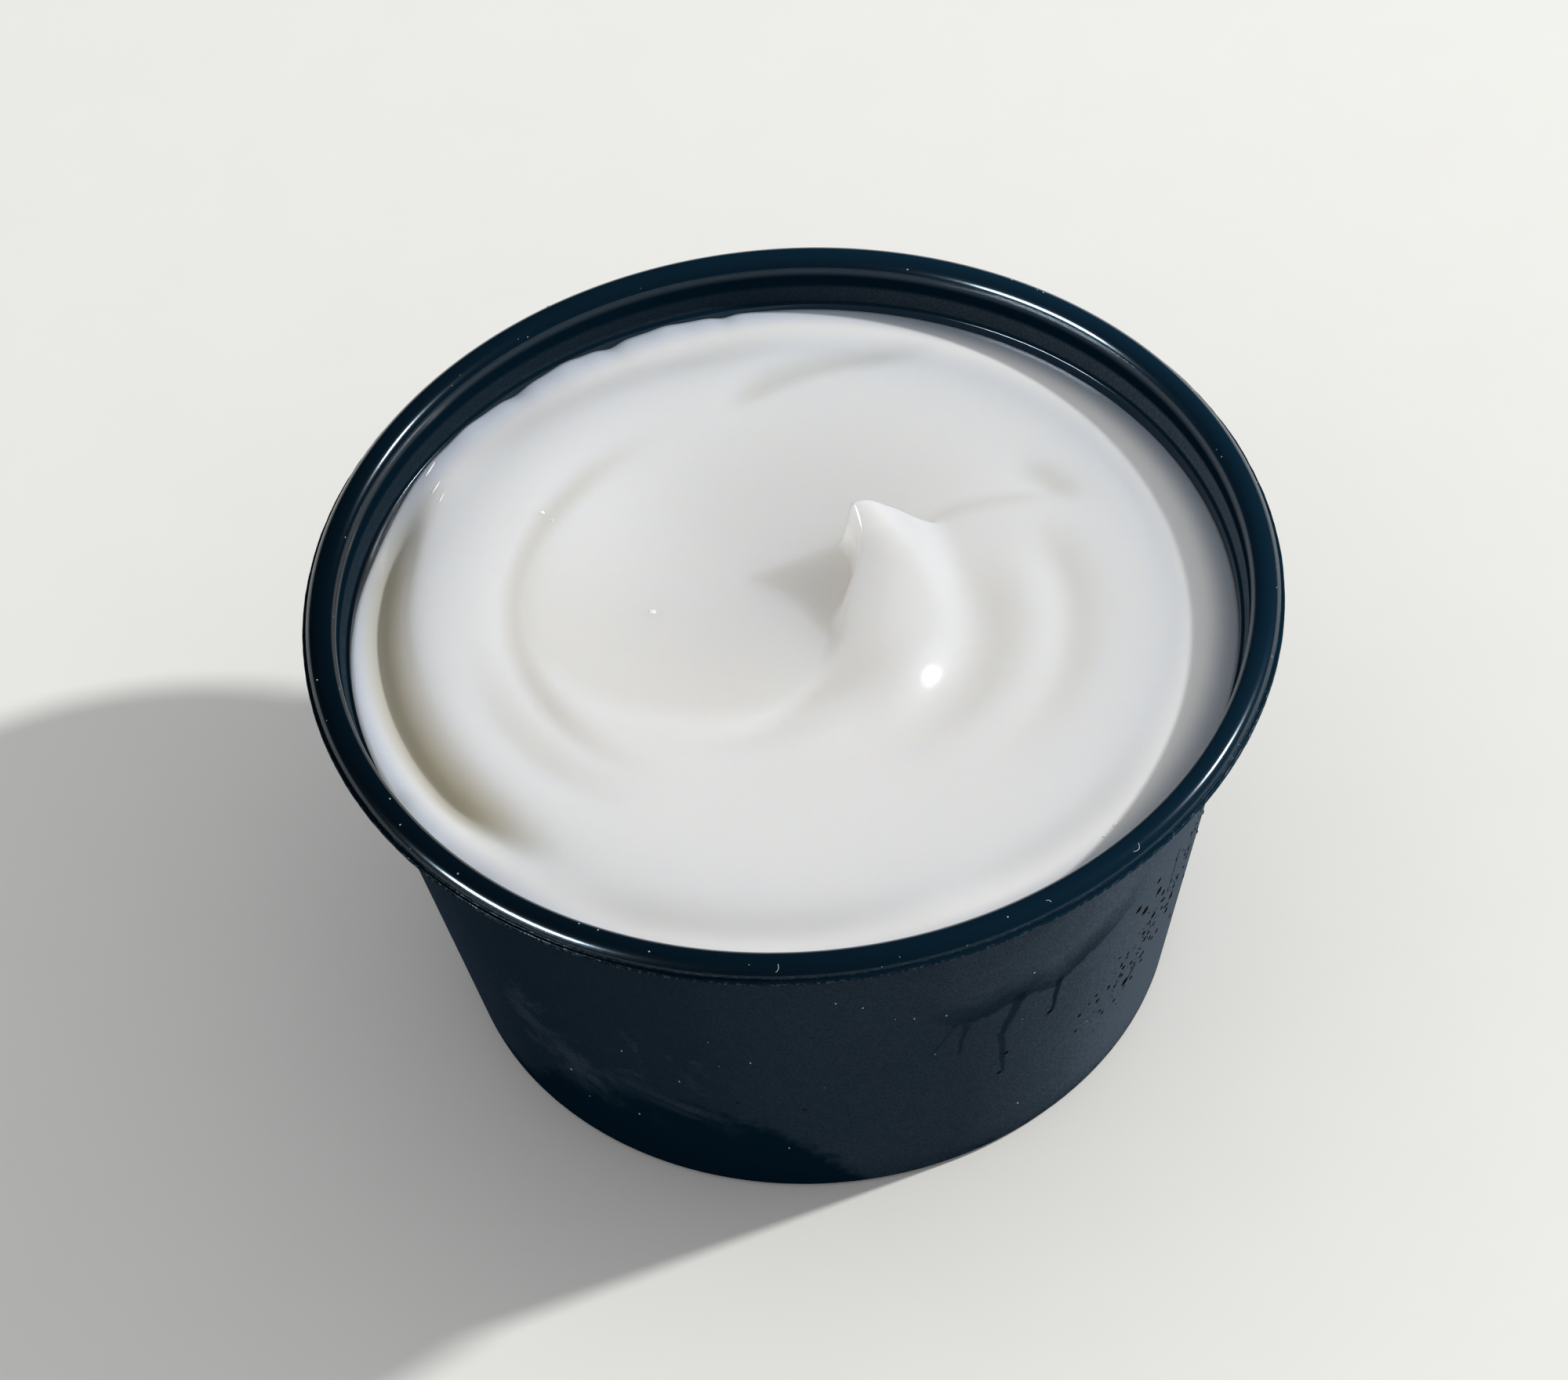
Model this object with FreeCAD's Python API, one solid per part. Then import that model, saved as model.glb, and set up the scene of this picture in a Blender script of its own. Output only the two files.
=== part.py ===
import FreeCAD, Part
import math
import os
from FreeCAD import Vector

# Sour cream tub: a thin moulded cup with a rolled rim, and the swirled cream that fills it.
# Millimetres, +Z up, the cup's standing ring on z = 0, the cup's axis on the Z axis.

# ---- overall sizes ----
OVERALL_HEIGHT = 37.9        # floor to the top of the rolled bead
LIP_RADIUS = 37.0            # outer edge of the trimmed lip
BASE_RADIUS = 27.75          # outer wall carried down to z = 0
WALL = 0.5                   # moulded thickness, square to the surface

# ---- rim ----
BEAD_RADIUS = 1.15           # outside of the rolled bead
BEAD_INSET = 1.4             # lip edge in to the bead's centre
LIP_THICKNESS = 0.42
LIP_RISE = 0.06              # lip's top against the bead's centre
LEDGE_DEPTH = 3.75           # top of the bead down to the inner ledge
LEDGE_WIDTH = 0.5            # step in from the upper wall to the ledge
LEDGE_FALL = 0.2             # the ledge slopes inward by this much
COLLAR_LEAN = 0.25           # the upper wall leans in by this much toward the ledge

# ---- base ----
FLOOR_THICKNESS = 0.6
PANEL_LIFT = 0.7             # the base panel stands this far above the ring
RING_WIDTH = 1.6             # flat of the standing ring
FOOT_FILLET = 0.8
INNER_FILLET = 1.2

# ---- cream level ----
SWIRL_RADIUS = 33.5          # radius the swirl's sizes below are given for
MEET_RIGHT = -1.15           # cream's edge against the ledge, on +X
MEET_LEFT = -0.2             # and on -X
MENISCUS = 2.0               # width of the turn-down at the wall
LEVEL = -0.4                 # middle of the cream against the ledge
BAND_RISE = 0.5              # the outer band stands this much higher
BAND_RADII = (14.0, 28.0)    # and rises between these radii

# ---- cream: the spoon's hollow ----
WELL_CENTRE = (-5.0, 6.0)
WELL_RADIUS = 18.5
WELL_DEPTH = 2.5
WELL_STRETCH_BACK = 1.25
WELL_STRETCH_RIGHT = 1.25
WELL_STRETCH_FRONT = 0.85
WELL_ROUNDNESS = 2.0

# ---- cream: the last stroke's lobe, ending in the lifted tip ----
LOBE_CENTRE = (-8.0, 1.5)
LOBE_START = 28.0            # degrees about the lobe's centre, at the tip
LOBE_TURN = 153.0            # degrees the stroke runs back from the tip, clockwise
LOBE_BEHIND = 60.0           # degrees past the tip that still belong to it
LOBE_TIP_RADIUS = 14.4
LOBE_RADIUS = 11.1
LOBE_END_RADIUS = 12.0
LOBE_FLARE = 30.0            # degrees over which the edge swings out to the tip
LOBE_SPREAD = (50.0, 130.0)  # degrees over which the far end broadens
LOBE_FADE = 0.5
LOBE_LEVEL = -0.1            # lobe's top against the ledge
LOBE_EDGE_LEVEL = -1.0       # lobe's inner edge against the ledge
LOBE_RISE_WIDTH = 5.0        # from the inner edge up to the top
PEAK_LEVEL = 3.45            # top of the lifted tip against the ledge
LOBE_TIP_SPAN = 16.0         # degrees over which the tip falls to the lobe
LOBE_TIP_CURVE = 1.3
LOBE_TIP_ROUND = 0.45        # the tip's inner edge below its top
LOBE_TIP_RISE = 2.8          # the tip's rise is this much narrower
FLANK_FOOT = 13.5
FLANK_TIP_FOOT = 3.4
FLANK_END_FOOT = 3.5
FLANK_WIDTH = 2.9
FLANK_TIP_WIDTH = 3.8
FLANK_END_WIDTH = 2.0
INNER_CLIFF = 1.4            # width of the steep inner face
CLIFF_SPREAD = 0.6
CLIFF_START = 0.3
BACK_CLIFF = 1.4
CUT_LINE = 9.0               # the tip's back face stands on this line
CUT_LEAN = 0.05

# ---- cream: folds, each an arc about its own centre ----
# centre x, y; angles from, to; radii from, to; bulge; height; half widths inside, outside; fades
FOLDS = {
    "ridge_right": (2.0, -2.0, 38.0, -68.0, 17.4, 14.6, 0.0, 0.38, 2.0, 2.2, 0.3, 0.6),
    "trough_inner": (0.0, 0.0, 30.0, -80.0, 14.6, 15.2, 0.0, -0.40, 1.9, 1.8, 0.3, 0.5),
    "trough_outer": (2.0, -2.0, 36.0, -60.0, 20.2, 17.6, 0.0, -0.35, 1.5, 1.8, 0.2, 0.6),
    "pit_left": (0.0, 0.0, 143.0, 232.0, 33.0, 28.3, 0.0, -2.0, 1.6, 1.7, 0.25, 0.3),
    "ridge_left": (0.0, 0.0, 150.0, 235.0, 30.2, 25.5, 0.0, 0.3, 2.4, 1.4, 0.3, 0.4),
    "groove_left": (-8.0, 2.0, 85.0, 265.0, 19.0, 15.2, -5.6, -0.36, 1.2, 1.0, 0.25, 0.3),
    "crease_left": (-4.0, 0.0, 172.0, 250.0, 20.6, 18.4, 0.0, -0.40, 2.0, 1.3, 0.4, 0.5),
    "fold_back_outer": (0.0, 0.0, 150.0, 85.0, 32.6, 29.2, 0.0, -0.50, 2.2, 1.8, 0.3, 0.3),
    "fold_back_inner": (0.0, 0.0, 103.0, 64.0, 23.8, 30.0, 0.0, -0.70, 1.3, 1.3, 0.3, 0.3),
    "hollow_front": (0.0, 0.0, 225.0, 290.0, 31.5, 29.2, 0.0, -0.65, 2.2, 2.0, 0.3, 0.4),
    "hollow_right": (0.0, 0.0, -76.0, -25.0, 29.6, 28.9, 0.0, -0.40, 1.7, 1.6, 0.4, 0.4),
    "crease_tip": (5.0, -7.5, 75.0, 47.0, 17.8, 24.5, 0.0, -0.14, 1.0, 0.7, 0.2, 0.3),
    "dimple": (0.0, 0.0, 42.0, 22.0, 23.2, 24.8, 0.0, -0.40, 1.3, 1.2, 0.5, 0.4),
}
LOBE_RIB = (0.0, 0.0, -2.0, -70.0, 10.5, 10.8, 0.0, 0.92, 3.0, 1.6, 0.5, 0.5)
GRID_STEPS = 84
GRID_MARGIN = 1.5            # the swirl's surface reaches this far past the wall

# ---- derived ----
BEAD_R = LIP_RADIUS - BEAD_INSET
BEAD_Z = OVERALL_HEIGHT - BEAD_RADIUS
HOLLOW = BEAD_RADIUS - WALL
COLLAR_TOP = BEAD_R - BEAD_RADIUS
COLLAR_FOOT = COLLAR_TOP - COLLAR_LEAN
LEDGE_Z = OVERALL_HEIGHT - LEDGE_DEPTH
INNER_TOP = COLLAR_FOOT - LEDGE_WIDTH
INNER_TOP_Z = LEDGE_Z - LEDGE_FALL
DRAFT = math.atan2(INNER_TOP + WALL - BASE_RADIUS, INNER_TOP_Z)
FLAT_WALL = WALL / math.cos(DRAFT)
FLOOR_Z = PANEL_LIFT + FLOOR_THICKNESS


def outer_wall(z):
    """Radius of the outside wall at height z."""
    return BASE_RADIUS + z * math.tan(DRAFT)


def inner_wall(z):
    """Radius of the inside wall at height z."""
    return outer_wall(z) - FLAT_WALL


def smooth(t):
    """Smooth step from 0 to 1."""
    t = min(1.0, max(0.0, t))
    return t * t * (3.0 - 2.0 * t)


def wrap(angle):
    """Angle brought into -180 to 180 degrees."""
    return (angle + 180.0) % 360.0 - 180.0


def polar(x, y, centre):
    """Distance and angle in degrees from a centre."""
    dx = x - centre[0]
    dy = y - centre[1]
    return math.hypot(dx, dy), math.degrees(math.atan2(dy, dx))


# ---- cup ----
def revolve(edges):
    """Solid of revolution about the Z axis from profile edges in the XZ plane."""
    face = Part.Face(Part.Wire(Part.__sortEdges__(edges)))
    return face.revolve(Vector(0, 0, 0), Vector(0, 0, 1), 360)


def lines(points):
    """Straight edges joining (radius, height) points in turn."""
    ends = [Vector(r, 0, z) for r, z in points]
    return [Part.LineSegment(a, b).toShape() for a, b in zip(ends, ends[1:])]


def arc(centre_r, centre_z, radius, start, end):
    """Arc edge in the profile plane between two angles in degrees."""
    spots = []
    for angle in (start, 0.5 * (start + end), end):
        turn = math.radians(angle)
        spots.append(Vector(centre_r + radius * math.cos(turn), 0, centre_z + radius * math.sin(turn)))
    return Part.Arc(*spots).toShape()


def corner(point_in, at, point_out, radius):
    """Fillet between two straight runs: its tangent points and the arc edge."""
    a = Vector(point_in[0] - at[0], 0, point_in[1] - at[1]).normalize()
    b = Vector(point_out[0] - at[0], 0, point_out[1] - at[1]).normalize()
    half = 0.5 * a.getAngle(b)
    here = Vector(at[0], 0, at[1])
    start = here + a * (radius / math.tan(half))
    end = here + b * (radius / math.tan(half))
    centre = here + (a + b).normalize() * (radius / math.sin(half))
    middle = centre + (here - centre).normalize() * radius
    return (start.x, start.z), (end.x, end.z), Part.Arc(start, middle, end).toShape()


def inner_profile():
    """Cup's inside from the axis to the wall's top, used by the cup and by the cream."""
    floor = (0.0, FLOOR_Z)
    turn = (inner_wall(FLOOR_Z), FLOOR_Z)
    top = (INNER_TOP, INNER_TOP_Z)
    start, end, fillet = corner(floor, turn, top, INNER_FILLET)
    return lines([floor, start]) + [fillet] + lines([end, top])


def build_cup():
    """Thin cup: recessed base panel, tapered wall, ledge, collar, rolled bead and trimmed lip."""
    lip_top = BEAD_Z + LIP_RISE
    lip_low = lip_top - LIP_THICKNESS
    out_side = BEAD_R + math.sqrt(BEAD_RADIUS ** 2 - LIP_RISE ** 2)
    out_angle = math.degrees(math.asin(LIP_RISE / BEAD_RADIUS))
    low_side = BEAD_R + math.sqrt(HOLLOW ** 2 - (lip_low - BEAD_Z) ** 2)
    low_angle = math.degrees(math.asin((lip_low - BEAD_Z) / HOLLOW))
    ledge_under = INNER_TOP_Z - WALL
    collar_under = LEDGE_Z - WALL
    ring_inner = BASE_RADIUS - FOOT_FILLET - RING_WIDTH
    foot_in, foot_out, foot = corner((0.0, 0.0), (BASE_RADIUS, 0.0),
                                     (outer_wall(ledge_under), ledge_under), FOOT_FILLET)
    edges = inner_profile()
    edges += lines([(INNER_TOP, INNER_TOP_Z), (COLLAR_FOOT, LEDGE_Z), (COLLAR_TOP, BEAD_Z)])
    edges.append(arc(BEAD_R, BEAD_Z, BEAD_RADIUS, 180.0, out_angle))
    edges += lines([(out_side, lip_top), (LIP_RADIUS, lip_top), (LIP_RADIUS, lip_low), (low_side, lip_low)])
    edges.append(arc(BEAD_R, BEAD_Z, HOLLOW, low_angle, 180.0))
    edges += lines([(BEAD_R - HOLLOW, BEAD_Z), (COLLAR_FOOT + WALL, collar_under),
                    (outer_wall(ledge_under), ledge_under), foot_out])
    edges.append(foot)
    edges += lines([foot_in, (ring_inner, 0.0), (ring_inner - PANEL_LIFT, PANEL_LIFT),
                    (0.0, PANEL_LIFT), (0.0, FLOOR_Z)])
    return revolve(edges)


# ---- cream ----
def fold(x, y, sizes):
    """One raised or sunk fold: a soft ridge along an arc whose ends fade out."""
    cx, cy, a0, a1, r0, r1, bulge, height, inside, outside, fade_in, fade_out = sizes
    radius, angle = polar(x, y, (cx, cy))
    t = 0.5 + wrap(angle - 0.5 * (a0 + a1)) / (a1 - a0)
    off = radius - (r0 + (r1 - r0) * t + bulge * 4.0 * t * (1.0 - t))
    width = inside if off < 0.0 else outside
    return height * smooth(t / fade_in) * smooth((1.0 - t) / fade_out) * math.exp(-(off / width) ** 2)


def lobe(x, y):
    """The last stroke: its top against the ledge, and how much of it shows."""
    radius, angle = polar(x, y, LOBE_CENTRE)
    ahead = max(0.0, (LOBE_START - angle + LOBE_BEHIND) % 360.0 - LOBE_BEHIND)
    left = 1.0 - min(1.0, ahead / LOBE_TURN)
    lifted = math.exp(-(ahead / LOBE_TIP_SPAN) ** LOBE_TIP_CURVE)
    spread = smooth((ahead - LOBE_SPREAD[0]) / (LOBE_SPREAD[1] - LOBE_SPREAD[0]))
    crest = LOBE_TIP_RADIUS + (LOBE_RADIUS - LOBE_TIP_RADIUS) * smooth(ahead / LOBE_FLARE)
    off = radius - crest - (LOBE_END_RADIUS - LOBE_RADIUS) * spread
    edge = LOBE_EDGE_LEVEL + (PEAK_LEVEL - LOBE_TIP_ROUND - LOBE_EDGE_LEVEL) * lifted
    dome = LOBE_LEVEL + (PEAK_LEVEL - LOBE_LEVEL) * lifted
    top = edge + (dome - edge) * smooth(off / (LOBE_RISE_WIDTH - LOBE_TIP_RISE * lifted))
    foot = FLANK_FOOT + FLANK_TIP_FOOT * lifted + FLANK_END_FOOT * spread
    width = FLANK_WIDTH + FLANK_TIP_WIDTH * lifted + FLANK_END_WIDTH * spread
    flank = smooth((foot - math.hypot(x, y)) / width)
    cliff = smooth(CLIFF_START + off / (INNER_CLIFF + CLIFF_SPREAD * smooth(ahead / LOBE_FLARE)))
    cut = smooth(0.5 + (CUT_LINE + CUT_LEAN * x - y) / BACK_CLIFF)
    return top, flank * cliff * cut * smooth(left / LOBE_FADE)


def well(x, y):
    """The spoon's hollow, drawn out toward the back and the right."""
    dx = x - WELL_CENTRE[0]
    dy = y - WELL_CENTRE[1]
    if dx > 0.0:
        dx /= WELL_STRETCH_RIGHT
    dy /= WELL_STRETCH_BACK if dy > 0.0 else WELL_STRETCH_FRONT
    inside = max(0.0, 1.0 - (dx * dx + dy * dy) / WELL_RADIUS ** 2)
    return WELL_DEPTH * inside ** WELL_ROUNDNESS


def cream_height(x, y):
    """Height of the cream's top above the floor at a point of the swirl."""
    radius, angle = polar(x, y, (0.0, 0.0))
    side = math.cos(math.radians(angle))
    meet = 0.5 * (MEET_RIGHT + MEET_LEFT) + 0.5 * (MEET_RIGHT - MEET_LEFT) * side
    level = LEVEL + BAND_RISE * smooth((radius - BAND_RADII[0]) / (BAND_RADII[1] - BAND_RADII[0]))
    turn_down = math.exp(-max(0.0, SWIRL_RADIUS - radius) / MENISCUS)
    z = level + (meet - level) * turn_down - well(x, y)
    z += sum(fold(x, y, sizes) for sizes in FOLDS.values())
    top, shows = lobe(x, y)
    return LEDGE_Z + z + (top - z) * shows + fold(x, y, LOBE_RIB)


def cream_surface():
    """Spline face through the cream's heights, wider than the cup."""
    scale = INNER_TOP / SWIRL_RADIUS
    reach = INNER_TOP + GRID_MARGIN
    spots = [reach * (2.0 * i / GRID_STEPS - 1.0) for i in range(GRID_STEPS + 1)]
    rows = [[Vector(x, y, cream_height(x / scale, y / scale)) for y in spots] for x in spots]
    surface = Part.BSplineSurface()
    surface.interpolate(rows)
    return surface.toShape()


def build_cream():
    """Cream filling the cup's inside from the floor up to the swirled top."""
    above = OVERALL_HEIGHT + PEAK_LEVEL
    edges = inner_profile()
    edges += lines([(INNER_TOP, INNER_TOP_Z), (INNER_TOP, above), (0.0, above), (0.0, FLOOR_Z)])
    blank = revolve(edges)
    cutter = cream_surface().extrude(Vector(0, 0, above))
    return blank.cut(cutter)


def write(name, shape):
    """Write one piece's STEP file."""
    solid = shape.Solids[0] if shape.Solids else shape
    assert len(shape.Solids) == 1 and solid.isValid(), name
    solid.exportStep(os.path.join("parts", name + ".step"))


os.makedirs("parts", exist_ok=True)
write("cup", build_cup())
write("sour_cream", build_cream())
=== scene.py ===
"""Sour cream tub: a small moulded cup with a rolled rim, filled with spoon-swirled cream.

Written as an add-on with one operator for each piece. Lengths are metres in Blender; the swirl's
own sizes are kept in millimetres and turned into metres once, where the mesh is made.
"""
import math
import random

import bmesh
import bpy
import numpy as np
from bpy.props import FloatProperty, FloatVectorProperty, IntProperty, PointerProperty
from mathutils import Matrix, Vector


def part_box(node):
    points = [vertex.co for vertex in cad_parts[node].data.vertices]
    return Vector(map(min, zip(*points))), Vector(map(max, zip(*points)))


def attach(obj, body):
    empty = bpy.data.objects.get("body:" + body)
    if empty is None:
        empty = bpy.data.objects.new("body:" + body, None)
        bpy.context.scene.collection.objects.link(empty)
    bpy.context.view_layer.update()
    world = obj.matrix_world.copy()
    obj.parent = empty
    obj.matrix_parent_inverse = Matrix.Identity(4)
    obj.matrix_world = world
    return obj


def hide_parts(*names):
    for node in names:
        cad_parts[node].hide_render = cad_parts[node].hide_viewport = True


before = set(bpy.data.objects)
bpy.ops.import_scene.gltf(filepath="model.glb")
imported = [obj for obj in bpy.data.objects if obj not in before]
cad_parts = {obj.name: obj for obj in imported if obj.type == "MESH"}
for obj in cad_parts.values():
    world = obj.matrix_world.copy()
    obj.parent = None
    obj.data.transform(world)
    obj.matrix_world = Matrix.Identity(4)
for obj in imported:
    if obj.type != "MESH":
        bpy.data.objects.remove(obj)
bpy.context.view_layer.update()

bl_info = {
    "name": "Sour cream tub",
    "version": (1, 0, 0),
    "blender": (4, 5, 0),
    "location": "View3D > Sidebar > Tub",
    "description": "Builds a portion tub of swirled sour cream on its packed frame",
    "category": "Object",
}

CUP_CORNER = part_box("cup")[1]
MM = 0.001
BODY = "root"


# ---------------------------------------------------------------- sizes and colours
def length(name, description, default):
    """A length in metres."""
    return FloatProperty(name=name, description=description, default=default, unit="LENGTH",
                         subtype="DISTANCE", precision=5)


def number(name, description, default):
    """A plain number."""
    return FloatProperty(name=name, description=description, default=default, precision=4)


def colour(name, description, default):
    """A linear colour."""
    return FloatVectorProperty(name=name, description=description, default=default, size=3,
                               subtype="COLOR", min=0.0, max=1.0)


class TubCupSizes(bpy.types.PropertyGroup):
    """Sizes of the moulded cup; the overall ones come from the frame."""

    height: length("Height", "Floor to the top of the rolled bead", CUP_CORNER[2])
    lip_radius: length("Lip radius", "Outer edge of the trimmed lip", CUP_CORNER[0])
    base_radius: length("Base radius", "Outer wall carried down to the floor", 27.75 * MM)
    wall: length("Wall", "Moulded thickness", 0.5 * MM)
    bead_radius: length("Bead radius", "Outside of the rolled bead", 1.15 * MM)
    bead_inset: length("Bead inset", "Lip edge in to the bead's centre", 1.4 * MM)
    lip_thickness: length("Lip thickness", "Thickness of the trimmed lip", 0.42 * MM)
    lip_rise: length("Lip rise", "Lip's top against the bead's centre", 0.06 * MM)
    ledge_depth: length("Ledge depth", "Top of the bead down to the inner ledge", 3.75 * MM)
    ledge_width: length("Ledge width", "Step in from the collar to the ledge", 0.5 * MM)
    ledge_fall: length("Ledge fall", "Slope of the ledge", 0.2 * MM)
    collar_lean: length("Collar lean", "Lean of the collar above the ledge", 0.25 * MM)
    floor_thickness: length("Floor thickness", "Thickness of the base panel", 0.6 * MM)
    panel_lift: length("Panel lift", "Base panel above the standing ring", 0.7 * MM)
    ring_width: length("Ring width", "Flat of the standing ring", 1.6 * MM)
    foot_fillet: length("Foot fillet", "Rounding at the foot of the wall", 0.8 * MM)
    inner_fillet: length("Inner fillet", "Rounding inside the foot", 1.2 * MM)
    ragged: length("Ragged lip", "How far the trimmed edge wanders", 0.09 * MM)
    sides: IntProperty(name="Sides", description="Divisions round the axis", default=360)


class TubCreamSizes(bpy.types.PropertyGroup):
    """Levels and main forms of the swirled cream."""

    level: number("Level", "Middle of the cream against the ledge, in mm", -0.4)
    band_rise: number("Band rise", "Outer band above the middle, in mm", 0.5)
    well_depth: number("Well depth", "Depth of the spoon's hollow, in mm", 2.5)
    lobe_level: number("Lobe level", "Top of the last stroke against the ledge, in mm", -0.1)
    peak_level: number("Peak level", "Top of the lifted tip against the ledge, in mm", 3.45)
    into_wall: number("Into wall", "How far the cream reaches into the cup's wall, in mm", 0.08)
    steps: IntProperty(name="Steps", description="Mesh divisions across the cream", default=290)


class TubLooks(bpy.types.PropertyGroup):
    """Colours and light of the finished tub."""

    plastic: colour("Plastic", "Moulded blue-black plastic", (0.0014, 0.0082, 0.0160))
    # its colour is made paler to the right and to the back by a painted sheen in the plastic's
    # material
    rim: colour("Rim", "The same plastic where it is handled and clean", (0.0020, 0.0102, 0.0200))
    mist: colour("Mist", "Fine condensation on the outside wall", (0.060, 0.080, 0.105))
    # painted shade: the darker, warmer colour down in the deep pit by the left wall
    fold: colour("Fold", "Cream down in the deepest folds", (0.52, 0.49, 0.395))
    cream: colour("Cream", "Sour cream", (0.735, 0.735, 0.732))
    # painted shade: the colour down in the shallow creases and on the well's front
    crease_shade: colour("Crease", "Cream down in the shallow creases", (0.635, 0.625, 0.600))
    film: colour("Film", "Cream over the last few millimetres beside the wall", (0.80, 0.80, 0.795))
    # thin cream over the dark wall, darkened further by painted shade beside the wall
    edge: colour("Edge", "Cream thinning out at the wall", (0.63, 0.70, 0.81))
    floor: colour("Floor", "Pale floor", (0.80, 0.80, 0.775))
    key: number("Key", "Power of the small key light, in watts", 30.5)
    window: number("Window", "Power of the low window light, in watts", 72.0)
    fill: number("Fill", "Strength of the soft fill all round", 0.60)


# ---------------------------------------------------------------- node helpers
def put(thing, settings):
    """Sets several settings of a thing by name."""
    for key, value in settings.items():
        setattr(thing, key, value)


def through(operation, turned=False):
    """A method that puts a wire and others through one Math node, or the others first."""
    def method(self, *others):
        return self.graph.maths(operation, *((*others, self) if turned else (self, *others)))
    return method


class Wire:
    """An output socket that Python's operators work on."""

    def __init__(self, graph, socket):
        self.graph = graph
        self.socket = socket

    __add__ = __radd__ = through("ADD")
    __sub__ = through("SUBTRACT")
    __rsub__ = through("SUBTRACT", turned=True)
    __mul__ = __rmul__ = through("MULTIPLY")
    __truediv__ = through("DIVIDE")
    __rtruediv__ = through("DIVIDE", turned=True)
    __abs__ = through("ABSOLUTE")
    least = through("MINIMUM")
    most = through("MAXIMUM")
    floor = through("FLOOR")
    sine = through("SINE")
    cosine = through("COSINE")
    root = through("SQRT")

    def between(self, low, high):
        """0 below low, 1 above high, smooth in between."""
        sockets = {"Value": self, "From Min": low, "From Max": high}
        node = self.graph.node("ShaderNodeMapRange", sockets, interpolation_type="SMOOTHSTEP")
        return node.out("Result")

    def within(self, rise, fall):
        """0 outside two spans, 1 between them."""
        return self.between(*rise) * (1.0 - self.between(*fall))


class Node:
    """One node, with its outputs by name."""

    def __init__(self, graph, raw):
        self.graph = graph
        self.raw = raw

    def out(self, name=0):
        """One output as a wire."""
        return Wire(self.graph, self.raw.outputs[name])


class Graph:
    """Adds nodes and links to one node tree."""

    def __init__(self, tree):
        self.tree = tree
        tree.nodes.clear()

    def node(self, kind, inputs=(), stops=(), **settings):
        """A node of a type: its settings first, then its sockets' values, wires or nodes."""
        raw = self.tree.nodes.new(kind)
        put(raw, settings)
        for i, (place, grey) in enumerate(stops):
            ramp = raw.color_ramp.elements
            stop = ramp[i] if i < len(ramp) else ramp.new(1.0)
            stop.position = place
            stop.color = (grey, grey, grey, 1.0)
        for key, value in dict(inputs).items():
            if isinstance(value, Node):
                value = value.out()
            if isinstance(value, Wire):
                self.tree.links.new(value.socket, raw.inputs[key])
            else:
                raw.inputs[key].default_value = value
        return Node(self, raw)

    def maths(self, operation, *values):
        """One Math node."""
        return self.node("ShaderNodeMath", enumerate(values), operation=operation).out()

    def mix(self, factor, first, second):
        """Mix of two colours."""
        sockets = {0: factor, 6: rgba(first), 7: rgba(second)}
        return self.node("ShaderNodeMix", sockets, data_type="RGBA").out(2)

    def split(self, vector):
        """The three parts of a vector."""
        node = self.node("ShaderNodeSeparateXYZ", {0: vector})
        return node.out("X"), node.out("Y"), node.out("Z")

    def join(self, x, y, z):
        """A vector from its three parts."""
        return self.node("ShaderNodeCombineXYZ", {"X": x, "Y": y, "Z": z}).out()

    def noise(self, vector, scale, detail, roughness):
        """Noise value from 0 to 1."""
        sockets = {"Vector": vector, "Scale": scale, "Detail": detail, "Roughness": roughness}
        return self.node("ShaderNodeTexNoise", sockets).out(0)

    def named(self, name, kind):
        """An attribute of the geometry, by name."""
        return self.node("GeometryNodeInputNamedAttribute", {"Name": name}, data_type=kind).out()

    def place(self):
        """The place on the piece, its three parts, and its distance from the axis."""
        place = self.node("ShaderNodeTexCoord").out("Object")
        x, y, z = self.split(place)
        return place, x, y, z, (x * x + y * y).root()

    def skin(self, shade, roughness, others):
        """A Principled surface with its other sockets."""
        sockets = {"Base Color": rgba(shade), "Roughness": roughness}
        return self.node("ShaderNodeBsdfPrincipled", {**sockets, **others})

    def surface(self, shader):
        """Links a shader node to the material's output."""
        self.node("ShaderNodeOutputMaterial", {"Surface": shader})


def rgba(shade):
    """A colour socket's four numbers; a wire passes through."""
    return shade if isinstance(shade, Wire) else (*shade, 1.0)


def new_material(name):
    """An empty node material and its graph."""
    material = bpy.data.materials.new(name)
    material.use_nodes = True
    return material, Graph(material.node_tree)


def even_material(name, shade, roughness, others):
    """A material that is the same all over."""
    material, graph = new_material(name)
    graph.surface(graph.skin(shade, roughness, others))
    return material


def new_tree(name, build, material, sizes):
    """A geometry tree with named inputs; returns it with the value of each input by identifier."""
    tree = bpy.data.node_groups.new(name, "GeometryNodeTree")
    tree.interface.new_socket("Geometry", in_out="INPUT", socket_type="NodeSocketGeometry")
    given = {}
    for label, value in sizes.items():
        kind = "NodeSocketInt" if isinstance(value, int) else "NodeSocketFloat"
        socket = tree.interface.new_socket(label, in_out="INPUT", socket_type=kind)
        given[socket.identifier] = value
    tree.interface.new_socket("Geometry", in_out="OUTPUT", socket_type="NodeSocketGeometry")
    graph = Graph(tree)
    made = build(graph, graph.node("NodeGroupInput"))
    realized = graph.node("GeometryNodeRealizeInstances", {0: made})
    painted = graph.node("GeometryNodeSetMaterial", {0: realized, "Material": material})
    graph.node("NodeGroupOutput", {0: painted})
    return tree, given


# ---------------------------------------------------------------- mesh helpers
def around(way, out, up):
    """A vector out from the axis at an angle, and up."""
    return Vector((out * math.cos(way), out * math.sin(way), up))


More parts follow.
